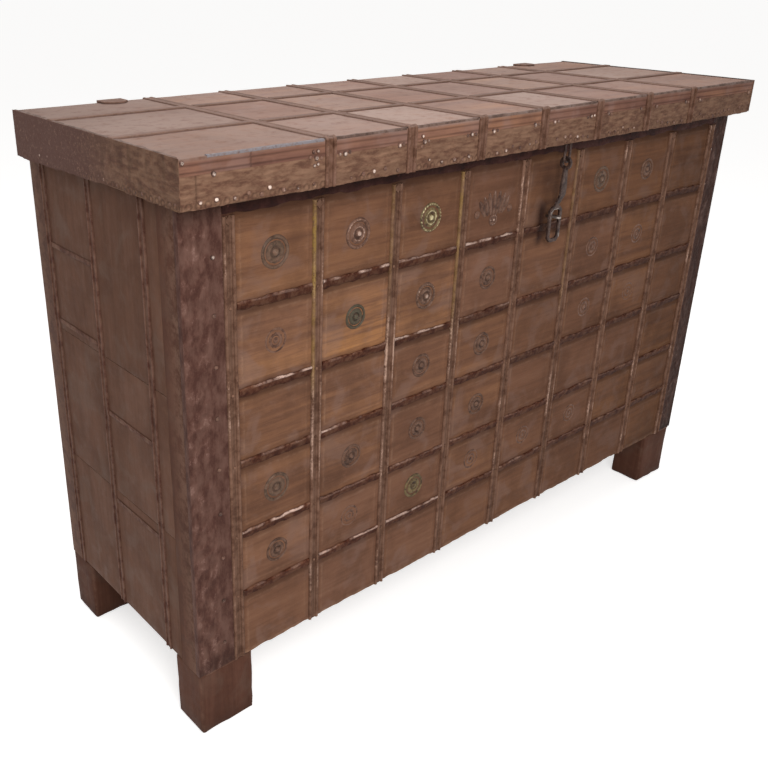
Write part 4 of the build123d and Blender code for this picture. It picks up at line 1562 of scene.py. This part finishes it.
@dataclass
class Posts:
    """Corner posts that run down as feet."""

    finishes: Finishes
    rounding: float = 7.0
    board: float = 24.0  # thickness of the boards that are let in
    lap: float = 24.0  # how far the end boards lap the post
    step: float = 18.0
    corner_radius: float = 2.5
    level_count: int = 46
    end_reach: float = 3.0  # points this near the end of the chest are planed uneven

    def post(self, name: str) -> None:
        """Builds one post: the foot, and the length above it, rebated for the boards.

        Args:
            name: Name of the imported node.
        """
        low, high = node_box(name)
        boards = node_box("front_boards")
        skirt = boards[0][2]
        way = np.array([1.0 if high[0] > 0 else -1.0, 1.0 if high[1] > 100 else -1.0])
        seed = int(7 + way[0] + 2 * way[1])
        shape = Shape()
        corners = low, (high[0], high[1], skirt)
        Board(*corners, self.rounding, self.step, wave=1.0, chip=4.0, seed=seed).add_to(shape)
        near_floor = 1 - ease(shape.points[-1][:, 2], 4.0, 60.0)
        shape.scale_last("worn", 0.3 + 0.2 * near_floor)
        shape.values["deep"][-1] += 0.5 * near_floor**2
        outer = np.where(way > 0, high[:2], low[:2])
        width, depth = (high - low)[:2]
        stile = abs(outer[0] - boards[int(way[0] > 0)][0])
        lap, corner, board = depth - self.lap, self.corner_radius, self.board
        inward = [(corner, 0), (corner * 0.3, corner * 0.3), (0, corner), (0, lap), (board, lap)]
        inward += [(board, depth), (width, depth), (width, board), (stile, board), (stile, 0)]
        ring = outer - way * np.array(inward)
        rubbed = [1.0] * 3 + [0.0] * (len(ring) - 3)
        if way.prod() > 0:
            ring, rubbed = ring[::-1], rubbed[::-1]
        levels = np.linspace(skirt - 4.0, high[2], self.level_count)
        points = np.array([(x, y, level) for level in levels for x, y in ring])
        on_end = np.abs(points[:, 0] - outer[0]) < self.end_reach
        points[:, 0] -= np.where(on_end, 0.5 * way[0] * mottled(points, 60.0, seed + 3), 0.0)
        worn = np.tile(rubbed, len(levels))
        shape.add(points, tube_faces(len(levels), len(ring)), worn=worn, seed=seed * 0.3)
        shape.make(name.replace("post", "corner_post"), Body.CARCASS, Slot.WOOD, self.finishes.post, [name])

    def build(self) -> None:
        """Builds all four posts."""
        for name in ("post_front_left", "post_front_right", "post_back_left", "post_back_right"):
            self.post(name)


@dataclass
class Walls:
    """Back and end walls, floor and the ironwork of the ends."""

    layout: Layout
    finishes: Finishes
    joint_bands: tuple = (4, 2)  # bands at whose levels the wall boards meet
    floor_boards: int = 7
    strap_width: float = 16.0
    strap_base: float = 1.2
    strap_bead: float = 2.0
    strap_gap: float = 0.5
    band_height: float = 9.0
    # For each short band, the gap that it fills, counted from 0 at the front, and its drop from the rim.
    band_places: tuple = ((1, 148.0), (1, 285.0), (0, 403.0), (0, 576.0))

    def stacked(self, node: str, name: str, finish: Material, seed: int) -> None:
        """Builds a wall of boards laid one on another.

        Args:
            node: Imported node.
            name: Name of the piece.
            finish: Material of the boards.
            seed: Picks their wear.
        """
        low, high = node_box(node)
        shape = Shape()
        joints = [low[2]] + [sum(self.layout.bands[band - 1]) / 2 for band in self.joint_bands] + [high[2]]
        for number, (bottom, top) in enumerate(zip(joints, joints[1:])):
            corners = (low[0], low[1], bottom), (high[0], high[1], top)
            look = {"wave": 0.7, "chip": 0.6, "seed": seed + number, "tone": 0.1 * (number % 2) - 0.05}
            Board(*corners, radius=1.2, step=20.0, **look).add_to(shape)
        shape.make(name, Body.CARCASS, Slot.WOOD, finish, [node])

    def floor(self) -> None:
        """Builds the floor boards, whose outer ones fit between the posts, and finishes the ledgers."""
        low, high = node_box("floor_boards")
        post_low, post_high = node_box("post_front_right")
        back_low, _ = node_box("post_back_right")
        half = post_low[0]
        shape = Shape()
        step = 2 * half / self.floor_boards
        for number in range(self.floor_boards):
            start = -half + step * number
            corners = (start, low[1], low[2]), (start + step, high[1], high[2])
            Board(*corners, 1.5, seed=80 + number).add_to(shape)
        for start, finish in ((low[0], -half), (half, high[0])):
            corners = (start, post_high[1], low[2]), (finish, back_low[1], high[2])
            Board(*corners, 1.5, seed=88).add_to(shape)
        shape.make("floor_boards_sawn", Body.CARCASS, Slot.WOOD, self.finishes.inner, ["floor_boards"])
        frame["nodes"]["floor_bearers"].material_slots[0].material = self.finishes.inner

    def end_iron(self, side: Side) -> None:
        """Builds the straps and bands of one end.

        Args:
            side: End of the chest.
        """
        finish, half = self.finishes.strap_end, self.strap_width / 2
        low, high = node_box(f"end_straps_{side.value}")
        _, face = side.split(low, high)
        middles = (low[1] + half, (low[1] + high[1]) / 2, high[1] - half)
        profile = beaded_profile(self.strap_width, self.strap_base, self.strap_bead)
        profile.deep *= 0.35
        ways = (0, -side.way, 0), (side.way, 0, 0)
        straps = Shape()
        for number, middle in enumerate(middles):
            origins = straight((face, middle, low[2]), (face, middle, high[2]), 8.0)
            Run(profile, origins, *ways, dent=0.7, chip=0.5, seed=90 + number, tone=-0.05).add_to(straps)
        name, node = f"end_straps_beaded_{side.value}", f"end_straps_{side.value}"
        straps.make(name, Body.CARCASS, Slot.IRON, finish, [node])
        name, node = f"end_bands_flat_{side.value}", f"end_bands_{side.value}"
        low, high = node_box(node)
        bands = Shape()
        for column, drop in self.band_places:
            start, end = middles[column] + half + self.strap_gap, middles[column + 1] - half - self.strap_gap
            bottom = self.layout.rim_line - drop - self.band_height / 2
            corners = (low[0], start, bottom), (high[0], end, bottom + self.band_height)
            Board(*corners, radius=0.7, step=8.0, wave=0.6, chip=0.5, seed=int(drop)).add_to(bands)
        bands.make(name, Body.CARCASS, Slot.IRON, finish, [node])

    def build(self) -> None:
        """Builds the walls, the floor and the ironwork of the ends."""
        self.stacked("back_boards", "back_boards_sawn", self.finishes.inner, 30)
        self.stacked("left_boards", "left_boards_planed", self.finishes.end, 40)
        self.stacked("right_boards", "right_boards_planed", self.finishes.end, 44)
        self.floor()
        for side in Side:
            self.end_iron(side)


@dataclass
class Lid:
    """Boards, rim, straps, bands and sheets of the lid."""

    layout: Layout
    finishes: Finishes
    joint_gap: float = 1.4  # depth of the open joints under the boards
    boards: int = 3
    base: float = 1.2
    bead: float = 3.0
    flattened: float = 0.3  # share of the beads' height that is left on top
    band_width: float = 15.0
    edge_lines: tuple = (4.0, 14.0)  # levels of the lines scratched along the edge of the boards
    edge_joint: float = -628.0
    border_height: float = 13.0
    scallop_pitch: float = 15.0
    ripple_levels: tuple = (21.0, 28.0, 35.0)
    boss_radius: float = 4.2
    cap_line: float = -715.0  # where the cap of the left corner ends
    pressed_height: float = 45.0  # height of the front sheet, which places the topmost line on every sheet
    press_step: float = 2.2
    press_depth: float = 1.7
    hem: float = 2.2  # how uneven the lower edge of the rim sheets is
    sag: float = 7.0  # how far the left sheet has slipped at the back
    boss_level: float = 44.0  # level of the clusters of nails over the rim's lower edge
    boss_inset: float = 17.0  # distance of each cluster from the end of its sheet
    first_inset: float = 52.0  # the same at the left corner, past its cap
    stud_level: float = 10.0  # level of the row of small nails
    stud_gaps: Limits = (13.0, 30.0)
    small_radius: float = 2.8
    left_nails: tuple = (0, 2, 3, 1, 1, 1, 0, 1)  # small nails beside the boss at each end of a cell
    right_nails: tuple = (6, 1, 2, 1, 2, 0, 1, 0)
    first_lip: float = 42.0  # how far from the left corner the front lip begins
    lip_seed: int = 300

    def cells(self) -> list[Limits]:
        """X limits between the straps of the lid, from one end to the other."""
        low, high = node_box("lid_boards")
        edges = [low[0]] + [place for strap in self.layout.lid_straps for place in strap] + [high[0]]
        return list(zip(edges[::2], edges[1::2]))

    def top(self) -> None:
        """Builds the lid boards, with a worked panel in each cell."""
        low, high = node_box("lid_boards")
        band_low, band_high = node_box("lid_bands")
        columns = self.cells()
        inner = (band_low[1] + self.band_width, band_high[1] - self.band_width)
        rows = [(low[1], band_low[1]), inner, (band_high[1], high[1])]
        joints = np.linspace(low[1], high[1], self.boards + 1)[1:-1]
        xs = np.unique(np.concatenate([lines(start, finish, 12.0, 10.0) for start, finish in columns]))
        ys = np.unique(np.concatenate([lines(start, finish, 12.0, 10.0) for start, finish in rows]))
        xs = np.unique(np.append(xs, self.edge_joint + np.array([-3.0, 0.0, 3.0])))
        ys = np.unique(np.append(ys, [joint + step for joint in joints for step in (-1.8, 0.0, 1.8)]))
        levels = [low[2] + level + step for level in self.edge_lines for step in (-2.4, 0.0, 2.4)]
        points, faces = box_grid(xs, ys, np.array([low[2]] + levels + [high[2]]))
        x, y, z = points.T
        face = z >= high[2] - 0.01
        relief, deep, tone, warm, dust = np.zeros((5, len(points)))
        random = np.random.default_rng(11)
        for start, finish in columns:
            for near, far in rows:
                inside = (x >= start) & (x <= finish) & (y >= near) & (y <= far)
                beside = np.minimum(x[inside] - start, finish - x[inside])
                edge = np.minimum(beside, np.minimum(y[inside] - near, far - y[inside]))
                relief[inside] = -1.0 * (1 - ease(edge, 0.0, 26.0))
                # Each cell is drawn darker along the straps and bands, as dirt and painted shade.
                deep[inside] = 0.25 * (1 - ease(edge, 0.0, 5.0))
                tone[inside] = random.uniform(-0.09, 0.07)
                warm[inside] = random.uniform(0.0, 0.9)
                dust[inside] = random.uniform(0.5, 1.0)
        tone = np.where(face, tone - 0.6 * (1 - ease(x, low[0] - 250.0, -250.0)), tone)
        tone -= 0.2 * face * ease(y, -40.0, 120.0) * (1 - ease(x, -560.0, -350.0))
        dust = np.where(face, dust + 0.5 * (mottled(points, 130.0, 18) - 0.5), 0.0)
        scratched = sum(ridge(z, low[2] + level, 1.1) for level in self.edge_lines)
        deep = np.where(face, deep, np.clip(scratched * 0.75, 0, 1))
        joint = ridge(x, self.edge_joint, 1.5) * (y < low[1] + 0.1) * ~face
        open_joint = sum(ridge(y, place, 1.0) for place in joints) * (z < low[2] + 0.1)
        deep = np.maximum(deep, np.maximum(0.8 * joint, open_joint))
        relief += 1.0 * (mottled(points, 80.0, 15) - 0.9)
        warm = np.where(z > low[2] + 0.1, warm, 0.5)
        moved = points.copy()
        moved[:, 2] += np.where(face, relief, self.joint_gap * open_joint)
        shape = Shape()
        shape.add(moved, faces, deep=deep, tone=tone, warm=warm, dust=dust)
        shape.make("lid_boards_dusty", Body.LID, Slot.WOOD, self.finishes.lid, ["lid_boards"])

    def straps(self) -> None:
        """Builds the straps over the top and down the front edge."""
        board_low, board_high = node_box("lid_boards")
        top, back, front, bottom = board_high[2], board_high[1], board_low[1], self.layout.rim_line
        up = np.array([0.0, -1.0, 1.0]) / math.sqrt(2)
        for number, (low, high) in enumerate(self.layout.lid_straps, 1):
            middle = (low + high) / 2
            over = straight((middle, back, top), (middle, front + 2.0, top), 8.0)
            down = straight((middle, front, top - 2.0), (middle, front, bottom), 6.0)
            origins = np.vstack([over, [(middle, front + 0.6, top - 0.6)], down])
            upward = np.tile((0.0, 0.0, 1.0), (len(over), 1))
            out = np.vstack([upward, [up], np.tile((0.0, -1.0, 0.0), (len(down), 1))])
            station = np.arange(len(origins))
            out *= np.where(station < len(over) - 1, self.flattened, 1.0)[:, None]
            profile = beaded_profile(high - low, self.base, self.bead)
            profile.deep *= 0.35
            profile.out[[0, -1]] /= self.flattened
            run = Run(profile, origins, (1, 0, 0), out, sway=0.0, dent=0.6, chip=0.6, seed=100 + number)
            shape = Shape()
            dusty = np.where(station <= len(over), 1.0, 0.0)
            run.add_to(shape, dust=dusty[:, None], rub=0.85)
            name, node = f"lid_strap_beaded_{number}", f"lid_strap_{number}"
            shape.make(name, Body.LID, Slot.IRON, self.finishes.lid_iron, [node])

    def top_bands(self) -> None:
        """Builds the long bands on the top of the lid."""
        low, high = node_box("lid_bands")
        shape = Shape()
        cells = self.cells()
        rows = (low[1], low[1] + self.band_width), (high[1] - self.band_width, high[1])
        for place, (near, far) in enumerate(rows):
            for number, (start, finish) in enumerate(cells):
                first = (start + 0.5 * (number > 0), near, low[2] - FOOT)
                last = (finish - 0.5 * (number < len(cells) - 1), far, high[2] - 0.8)
                seed = 120 + number + 10 * place
                board = Board(first, last, radius=0.9, step=7.0, wave=0.7, chip=0.6, seed=seed)
                board.add_to(shape, dust=1.0)
                shape.scale_last("worn", 0.3)
        shape.make("lid_bands_flat", Body.LID, Slot.IRON, self.finishes.lid_iron, ["lid_bands"])

    def pressed(self, along: np.ndarray, up: np.ndarray, seed: int) -> tuple[np.ndarray, np.ndarray]:
        """Relief and brightness of the pressed sheet of the rim.

        Args:
            along: Places along the sheet.
            up: Their heights over its lower edge.
            seed: Picks its noise.

        Returns:
            How far each place is raised, and how worn it is.
        """
        spot = np.column_stack([along, up, np.zeros(len(up))])
        crisp = ease(mottled(spot, 42.0, seed + 5), 0.3, 0.6)
        phase = (along / self.scallop_pitch) % 1.0
        arch = self.border_height * (0.35 + 0.65 * np.sqrt(np.clip(1 - (2 * phase - 1) ** 2, 0, 1)))
        scallop = ridge(up, arch, 1.5)
        reach = np.hypot((phase - 0.5) * self.scallop_pitch, up - self.border_height * 0.38)
        bead = ridge(reach, 0.0, 2.6) - 0.6 * ridge(reach, 4.6, 1.3)
        hem = ridge(up, 1.0, 1.3)
        ripple = sum(ridge(up, level + 1.6 * np.sin(along / 11.0 + level), 1.5) for level in self.ripple_levels)
        ripple *= 0.35 + 0.65 * ease(mottled(spot, 24.0, seed + 8), 0.35, 0.65)
        leaf = ease(mottled(spot * np.array([0.6, 1.0, 1.0]), 11.0, seed), 0.5, 0.75) * ease(up, 13.0, 18.0)
        line = ridge(up, self.pressed_height - 3.0, 1.2)
        cap = ridge(along, self.cap_line, 1.5)
        raised = crisp * (0.6 * scallop + 0.9 * bead) + 0.35 * hem + 0.7 * ripple + 0.3 * leaf + line * 0.5
        raised = np.clip(0.25 + raised * 0.75 - 0.7 * cap, 0, 1)
        bright = 1.4 * (0.45 + 0.55 * crisp * (up < self.border_height + 2))
        return raised, np.clip(raised - 0.3, 0, 1) * bright

    def rim_sheet(self, node: str, name: str, along_x: bool, spans: Sequence[Limits], seed: int) -> None:
        """Builds the pressed sheets on one side of the rim.

        Args:
            node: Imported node.
            name: Name of the piece.
            along_x: Whether the sheets run along X, and not along Y.
            spans: Limits of each sheet along its run.
            seed: Picks their noise.
        """
        low, high = node_box(node)
        shape = Shape()
        left_end = not along_x and low[0] < 0
        face, behind, way = (low[0], high[0], 1.0) if left_end else (high[0], low[0], -1.0)
        height = high[2] - low[2]
        rise = np.linspace(0, height, int(height / self.press_step))
        for number, (start, finish) in enumerate(spans):
            run = np.linspace(start, finish, max(4, int((finish - start) / self.press_step)))
            grid = np.meshgrid(run, rise)
            along, up = grid[0].ravel(), grid[1].ravel()
            raised, worn = self.pressed(along, up, seed + number)
            spot = np.column_stack([along, up, np.zeros(len(up))])
            calm = (not along_x) * ease(along, -170.0, 130.0)
            raised = raised * (1 - 0.75 * calm) + 0.5 * calm
            streaks = ease(mottled(spot * (1.0, 0.16, 1.0), 8.0, seed + 9), 0.45, 0.7)
            streaks *= (1 - calm) * (not along_x)
            depth = self.press_depth * (1 - raised) + 0.3 * mottled(spot, 40.0, seed)
            hang = self.hem * ease(mottled(spot, 26.0, seed + 2), 0.3, 0.75) * (1 - ease(up, 0.0, 6.0))
            level = low[2] + up + hang
            if left_end:
                level -= self.sag * ease(along, -120.0, 240.0) * (1 - up / rise[-1])
            near, far = (low[1] + depth, high[1]) if along_x else (face + way * depth, behind)
            outer = np.column_stack([along, near, level])
            back = np.column_stack([along, np.full(len(up), far), level])
            if not along_x:
                outer, back = outer[:, [1, 0, 2]], back[:, [1, 0, 2]]
            values = {
                "worn": worn * (1 - 0.85 * calm) * 0.9,
                "deep": np.maximum((1 - raised) ** 2 * 0.9, 0.7 * streaks),
                "warm": 1.8 * calm,
                # Painted shade: sheets further right are drawn darker, where the light falls off, and the end
                # sheets darker still.
                "tone": -0.32 * ease(outer[:, 0], -300.0, 700.0).mean() - (0.0 if along_x else 0.2),
                "seed": seed * 0.1 + number,
            }
            add_plate(shape, outer, back, grid[0].shape, left_end, **values)
        shape.make(name, Body.LID, Slot.SHEET, self.finishes.rim, [node])

    def rim(self) -> None:
        """Builds the rails of the rim, their sheets and their nails."""
        for name in ("lid_rim_front", "lid_rim_left", "lid_rim_right", "lid_battens"):
            frame["nodes"][name].material_slots[0].material = self.finishes.inner
        spans = [(start + 0.4, finish - 0.4) for start, finish in self.cells()]
        self.rim_sheet("lid_edge_front", "rim_sheet_front", True, spans, 200)
        for side in Side:
            node = f"lid_edge_{side.value}"
            self.rim_sheet(node, f"rim_sheet_{side.value}", False, [self.layout.span(node, 1)], 230)
        self.rim_nails()

    def rim_nails(self) -> None:
        """Builds the clusters and the rows of small nails on the rim."""
        low, high = node_box("lid_edge_front")
        heads = Shape()
        random = np.random.default_rng(61)
        for number, (start, finish) in enumerate(self.cells()):
            # Nails are drawn less bright towards the right, as their painted highlight fades with the light.
            wear = 1.0 - 0.03 * number
            left = start + (self.boss_inset if number else self.first_inset)
            ends = (left, self.left_nails[number]), (finish - self.boss_inset, self.right_nails[number])
            for place, small in ends:
                self.cluster(heads, (place, low[1] + 0.7, low[2] + self.boss_level), small, number, wear)
            along = start + 30.0
            while along < finish - 8.0:
                spot = (along, low[1] + 0.9, low[2] + self.stud_level + random.uniform(-4.0, 5.0))
                radius, rubbed = random.uniform(2.0, 3.8), wear * random.uniform(0.35, 1.1)
                nail(heads, spot, (0, -1, 0), radius, int(along) % 97, rubbed)
                along += random.uniform(*self.stud_gaps)
        nail(heads, (low[0] + 5.0, low[1] + 1.0, high[2] + 18.0), (0, -1, 0), 3.4, 3, 1.0)
        low, high = node_box("lid_edge_left")
        along = low[1] + 12.0
        while along < high[1] - 60.0:
            spot = (low[0] + 2.6, along, low[2] + self.stud_level + random.uniform(-5.0, 2.0))
            radius, rubbed = random.uniform(2.0, 3.6), random.uniform(0.2, 0.9)
            nail(heads, spot, (-1, 0, 0), radius, int(along) % 89, rubbed)
            along += random.uniform(*self.stud_gaps)
        heads.make("rim_nails_front", Body.LID, Slot.IRON, self.finishes.nails)

    def cluster(self, shape: Shape, centre: Place, small: int, seed: int, wear: float) -> None:
        """Adds a boss with small nails beside it.

        Args:
            shape: Shape that takes them.
            centre: Middle of the cluster.
            small: How many small nails go with the boss.
            seed: Picks their places and wear.
            wear: How bright they are rubbed.
        """
        random = np.random.default_rng(seed * 17 + small)
        nail(shape, centre, (0, -1, 0), self.boss_radius * random.uniform(0.8, 1.05), seed, wear)
        for number in range(small):
            turn = math.tau * number / small + random.uniform(-0.2, 0.2)
            reach = random.uniform(8.5, 11.0)
            spot = (centre[0] + reach * math.cos(turn), centre[1], centre[2] + reach * math.sin(turn))
            nail(shape, spot, (0, -1, 0), self.small_radius, seed + number, wear * random.uniform(0.5, 1.1))

    def lips(self) -> None:
        """Builds the folded lips of the rim sheets along the front and the ends of the top."""
        low, high = node_box("lid_boards")
        shape = Shape()
        for number, (start, finish) in enumerate(self.cells()):
            start += 0.0 if number else self.first_lip
            corners = (start + 1.0, low[1] - 0.8, high[2]), (finish - 1.0, low[1] + 7.0, high[2])
            self.lip(shape, *corners, self.lip_seed + number)
        for number, (start, finish) in enumerate(((low[0], low[0] + 9.0), (high[0] - 9.0, high[0]))):
            corners = (start, low[1] + 8.0, high[2]), (finish, high[1] - 1.0, high[2])
            self.lip(shape, *corners, self.lip_seed + 20 + number, -number)
        shape.make("rim_lips_folded", Body.LID, Slot.SHEET, self.finishes.lip)

    def lip(self, shape: Shape, low: Place, high: Place, seed: int, tone: float = 0.0) -> None:
        """Adds one folded lip, with an uneven inner edge.

        Args:
            shape: Shape that takes it.
            low: Its lowest corner along X and Y, with the top of the boards as Z.
            high: Its highest corner, likewise.
            seed: Picks its wear.
            tone: How light it is, from -1 to 1.
        """
        corners = (low[0], low[1], low[2] - 4.0), (high[0], high[1], high[2] + 0.7)
        first = 0.9 if seed == self.lip_seed else 0.0
        board = Board(*corners, radius=0.8, step=6.0, wave=0.9, chip=0.8, seed=seed, tone=tone)
        board.add_to(shape, warm=first)
        points = shape.points[-1]
        loss = 5.0 * ease(mottled(points, 20.0, seed), 0.3, 0.7)
        if high[0] - low[0] > high[1] - low[1]:
            points[:, 1] -= np.where(points[:, 1] > high[1] - 2, loss, 0.0)
        elif low[0] < 0:
            points[:, 0] -= np.where(points[:, 0] > high[0] - 2, loss, 0.0)
        else:
            points[:, 0] += np.where(points[:, 0] < low[0] + 2, loss, 0.0)
        patchy = 0.25 + 0.75 * ease(mottled(points, 24.0, seed + 3), 0.35, 0.65)
        shape.values["worn"][-1] = np.maximum(shape.values["worn"][-1] * 0.5, patchy * (0.7 + 0.3 * first))

    def build(self) -> None:
        """Builds the whole lid."""
        self.top()
        self.straps()
        self.top_bands()
        self.rim()
        self.lips()


@dataclass
class Hardware:
    """Hasp, staples and hinges."""

    finishes: Finishes
    weld: float = 0.02
    segments: int = 3
    sharp: float = 25.0  # angle over which an edge is softened, in degrees

    def softened(self, node: str, name: str, body: Body, bevel: float, dust: float = 0.0) -> None:
        """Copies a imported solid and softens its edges, so that it looks forged.

        Args:
            node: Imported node.
            name: Name of the piece.
            body: Body that it moves with.
            bevel: Width of the softened edges, in millimetres.
            dust: How dusty it is, where it has the finish of the lid's iron.
        """
        block = bpy.data.objects.new(name, frame["nodes"][node].data.copy())
        bpy.context.scene.collection.objects.link(block)
        block.modifiers.new("weld", "WELD").merge_threshold = self.weld * MM
        edge = block.modifiers.new("edge", "BEVEL")
        edge.width = bevel * MM
        edge.segments = self.segments
        edge.limit_method = "ANGLE"
        edge.angle_limit = math.radians(self.sharp)
        graph = bpy.context.evaluated_depsgraph_get()
        mesh = bpy.data.meshes.new_from_object(block.evaluated_get(graph))
        bpy.data.objects.remove(block)
        mesh.name = name
        mesh.materials.clear()
        mesh.materials.append(self.finishes.lid_iron if dust else self.finishes.forged)
        points = np.array([vertex.co for vertex in mesh.vertices]) / MM
        known = {"worn": ease(mottled(points, 22.0, 3), 0.4, 0.7), "dust": np.full(len(points), dust)}
        for value in VALUES:
            layer = mesh.attributes.new(value, "FLOAT", "POINT")
            layer.data.foreach_set("value", known.get(value, np.zeros(len(points))).astype(np.float32))
        placed(mesh, body, 50.0, [node])

    def build(self) -> None:
        """Builds the hasp, its staples and the hinges."""
        self.softened("hasp", "hasp_forged", Body.HASP, 1.1)
        self.softened("hasp_staple", "hasp_staple_forged", Body.LID, 0.5)
        self.softened("catch_staple", "catch_staple_forged", Body.CARCASS, 0.5)
        for number in (1, 2):
            self.softened(f"hinge_body_leaf_{number}", f"hinge_body_strap_{number}", Body.CARCASS, 0.5)
            self.softened(f"hinge_lid_leaf_{number}", f"hinge_lid_strap_{number}", Body.LID, 0.5, dust=0.6)
            self.softened(f"hinge_pin_{number}", f"hinge_pin_hammered_{number}", Body.CARCASS, 0.4)


def seen_rays(tree: bpy.types.NodeTree) -> bpy.types.NodeSocket:
    """Finds the rays that see a surface, and not only its light.

    Args:
        tree: Node tree that takes the nodes.

    Returns:
        A socket that is 1 for camera, glossy and transmission rays.
    """
    path = add_node(tree, "LightPath")
    seen = path.outputs["Is Camera Ray"]
    for kind in ("Is Glossy Ray", "Is Transmission Ray"):
        settings = {"operation": "ADD", "use_clamp": True}
        seen = add_node(tree, "Math", settings, {0: seen, 1: path.outputs[kind]}).outputs[0]
    return seen


@dataclass(frozen=True)
class Lamp:
    """A soft square lamp, in metres and watts."""

    name: str
    place: Place
    aim: Place
    size: float
    power: float

    def hang(self) -> None:
        """Hangs the lamp, looking at its aim."""
        data = bpy.data.lights.new(self.name, "AREA")
        data.shape = "SQUARE"
        data.size = self.size
        data.energy = self.power
        lamp = bpy.data.objects.new(self.name, data)
        way = Vector(self.aim) - Vector(self.place)
        turn = way.to_track_quat("-Z", "Y").to_matrix().to_4x4()
        lamp.matrix_world = Matrix.Translation(Vector(self.place)) @ turn
        bpy.context.scene.collection.objects.link(lamp)


@dataclass
class Studio:
    """Floor, light and camera."""

    eye: Place = (-1331.287, -1232.379, 1222.785)
    yaw: float = 0.696
    pitch: float = 0.413
    roll: float = 0.012
    focal_pixels: float = 903.295
    centre_pixels: Sequence[float] = (312.653, 359.663)
    frame_pixels: float = 768.0
    sensor: float = 36.0
    far: float = 200.0  # metres
    floor_reach: float = 60.0  # metres
    floor_paint: str = "e8e6e4"
    floor_glow: float = 0.62
    fill: float = 0.42
    lamps: tuple[Lamp, ...] = (
        Lamp("key", (-1.35, -2.0, 2.1), (-0.4, 0.0, 0.55), 1.2, 46.0),
        Lamp("top", (-0.2, 0.5, 3.0), (0.0, 0.0, 0.9), 2.2, 30.0),
    )

    def camera(self) -> None:
        """Sets the camera at the viewing angle."""
        data = bpy.data.cameras.new("camera")
        data.sensor_width = self.sensor
        data.lens = self.focal_pixels / self.frame_pixels * self.sensor
        data.shift_x = (self.frame_pixels / 2 - self.centre_pixels[0]) / self.frame_pixels
        data.shift_y = (self.centre_pixels[1] - self.frame_pixels / 2) / self.frame_pixels
        data.clip_end = self.far
        level = math.cos(self.pitch)
        ahead = Vector((math.sin(self.yaw) * level, math.cos(self.yaw) * level, -math.sin(self.pitch)))
        right = Vector((math.cos(self.yaw), -math.sin(self.yaw), 0.0))
        up = right.cross(ahead)
        across = right * math.cos(self.roll) + up * math.sin(self.roll)
        above = up * math.cos(self.roll) - right * math.sin(self.roll)
        turn = Matrix((across, above, -ahead)).transposed().to_4x4()
        camera = bpy.data.objects.new("camera", data)
        camera.matrix_world = Matrix.Translation(Vector(self.eye) * MM) @ turn
        bpy.context.scene.collection.objects.link(camera)
        bpy.context.scene.camera = camera

    def floor(self) -> None:
        """Lays a white floor that keeps the shadow."""
        material = blank_material("floor_white_paint")
        tree = material.node_tree
        paint = add_node(tree, "BsdfDiffuse", {"Color": linear(self.floor_paint)})
        glow = add_node(tree, "Emission", {"Strength": self.floor_glow})
        dark = add_node(tree, "Emission", {"Strength": 0.0})
        sight = {0: seen_rays(tree), 1: dark.outputs[0], 2: glow.outputs[0]}
        lifted = add_node(tree, "MixShader", {}, sight)
        both = add_node(tree, "AddShader", {}, {0: paint.outputs[0], 1: lifted.outputs[0]})
        add_node(tree, "OutputMaterial", {}, {"Surface": both.outputs[0]})
        reach = self.floor_reach
        corners = [(-reach, -reach, 0), (reach, -reach, 0), (reach, reach, 0), (-reach, reach, 0)]
        mesh = bpy.data.meshes.new("floor")
        mesh.from_pydata(corners, [], [(0, 1, 2, 3)])
        mesh.materials.append(material)
        floor = bpy.data.objects.new("floor", mesh)
        bpy.context.scene.collection.objects.link(floor)

    def world(self) -> None:
        """Sets a soft fill, with a white background for what the camera and the metal see."""
        world = bpy.data.worlds.new("studio")
        world.use_nodes = True
        tree = world.node_tree
        tree.nodes.clear()
        fill = add_node(tree, "Background", {"Color": linear("ffffff"), "Strength": self.fill})
        white = add_node(tree, "Background", {"Color": linear("ffffff"), "Strength": 1.0})
        sight = {0: seen_rays(tree), 1: fill.outputs[0], 2: white.outputs[0]}
        both = add_node(tree, "MixShader", {}, sight)
        add_node(tree, "OutputWorld", {}, {"Surface": both.outputs[0]})
        bpy.context.scene.world = world

    def build(self) -> None:
        """Sets up the whole studio."""
        self.camera()
        self.floor()
        self.world()
        for lamp in self.lamps:
            lamp.hang()
        bpy.context.scene.view_settings.view_transform = "Standard"


def main() -> None:
    """Builds the chest in order and reports each piece."""
    logging.basicConfig(level=logging.INFO, format="%(message)s")
    Studio().build()
    layout = Layout()
    finishes = Finishes()
    parts = (
        FrontWall(layout, finishes),
        FrontIron(layout, finishes),
        Rosettes(layout, finishes),
        Posts(finishes),
        Walls(layout, finishes),
        Lid(layout, finishes),
        Hardware(finishes),
    )
    for part in parts:
        before = set(bpy.data.objects.keys())
        part.build()
        for name in bpy.data.objects.keys():
            if name not in before:
                LOG.info("%s: %s", type(part).__name__, name)


if __name__ == "__main__":
    main()
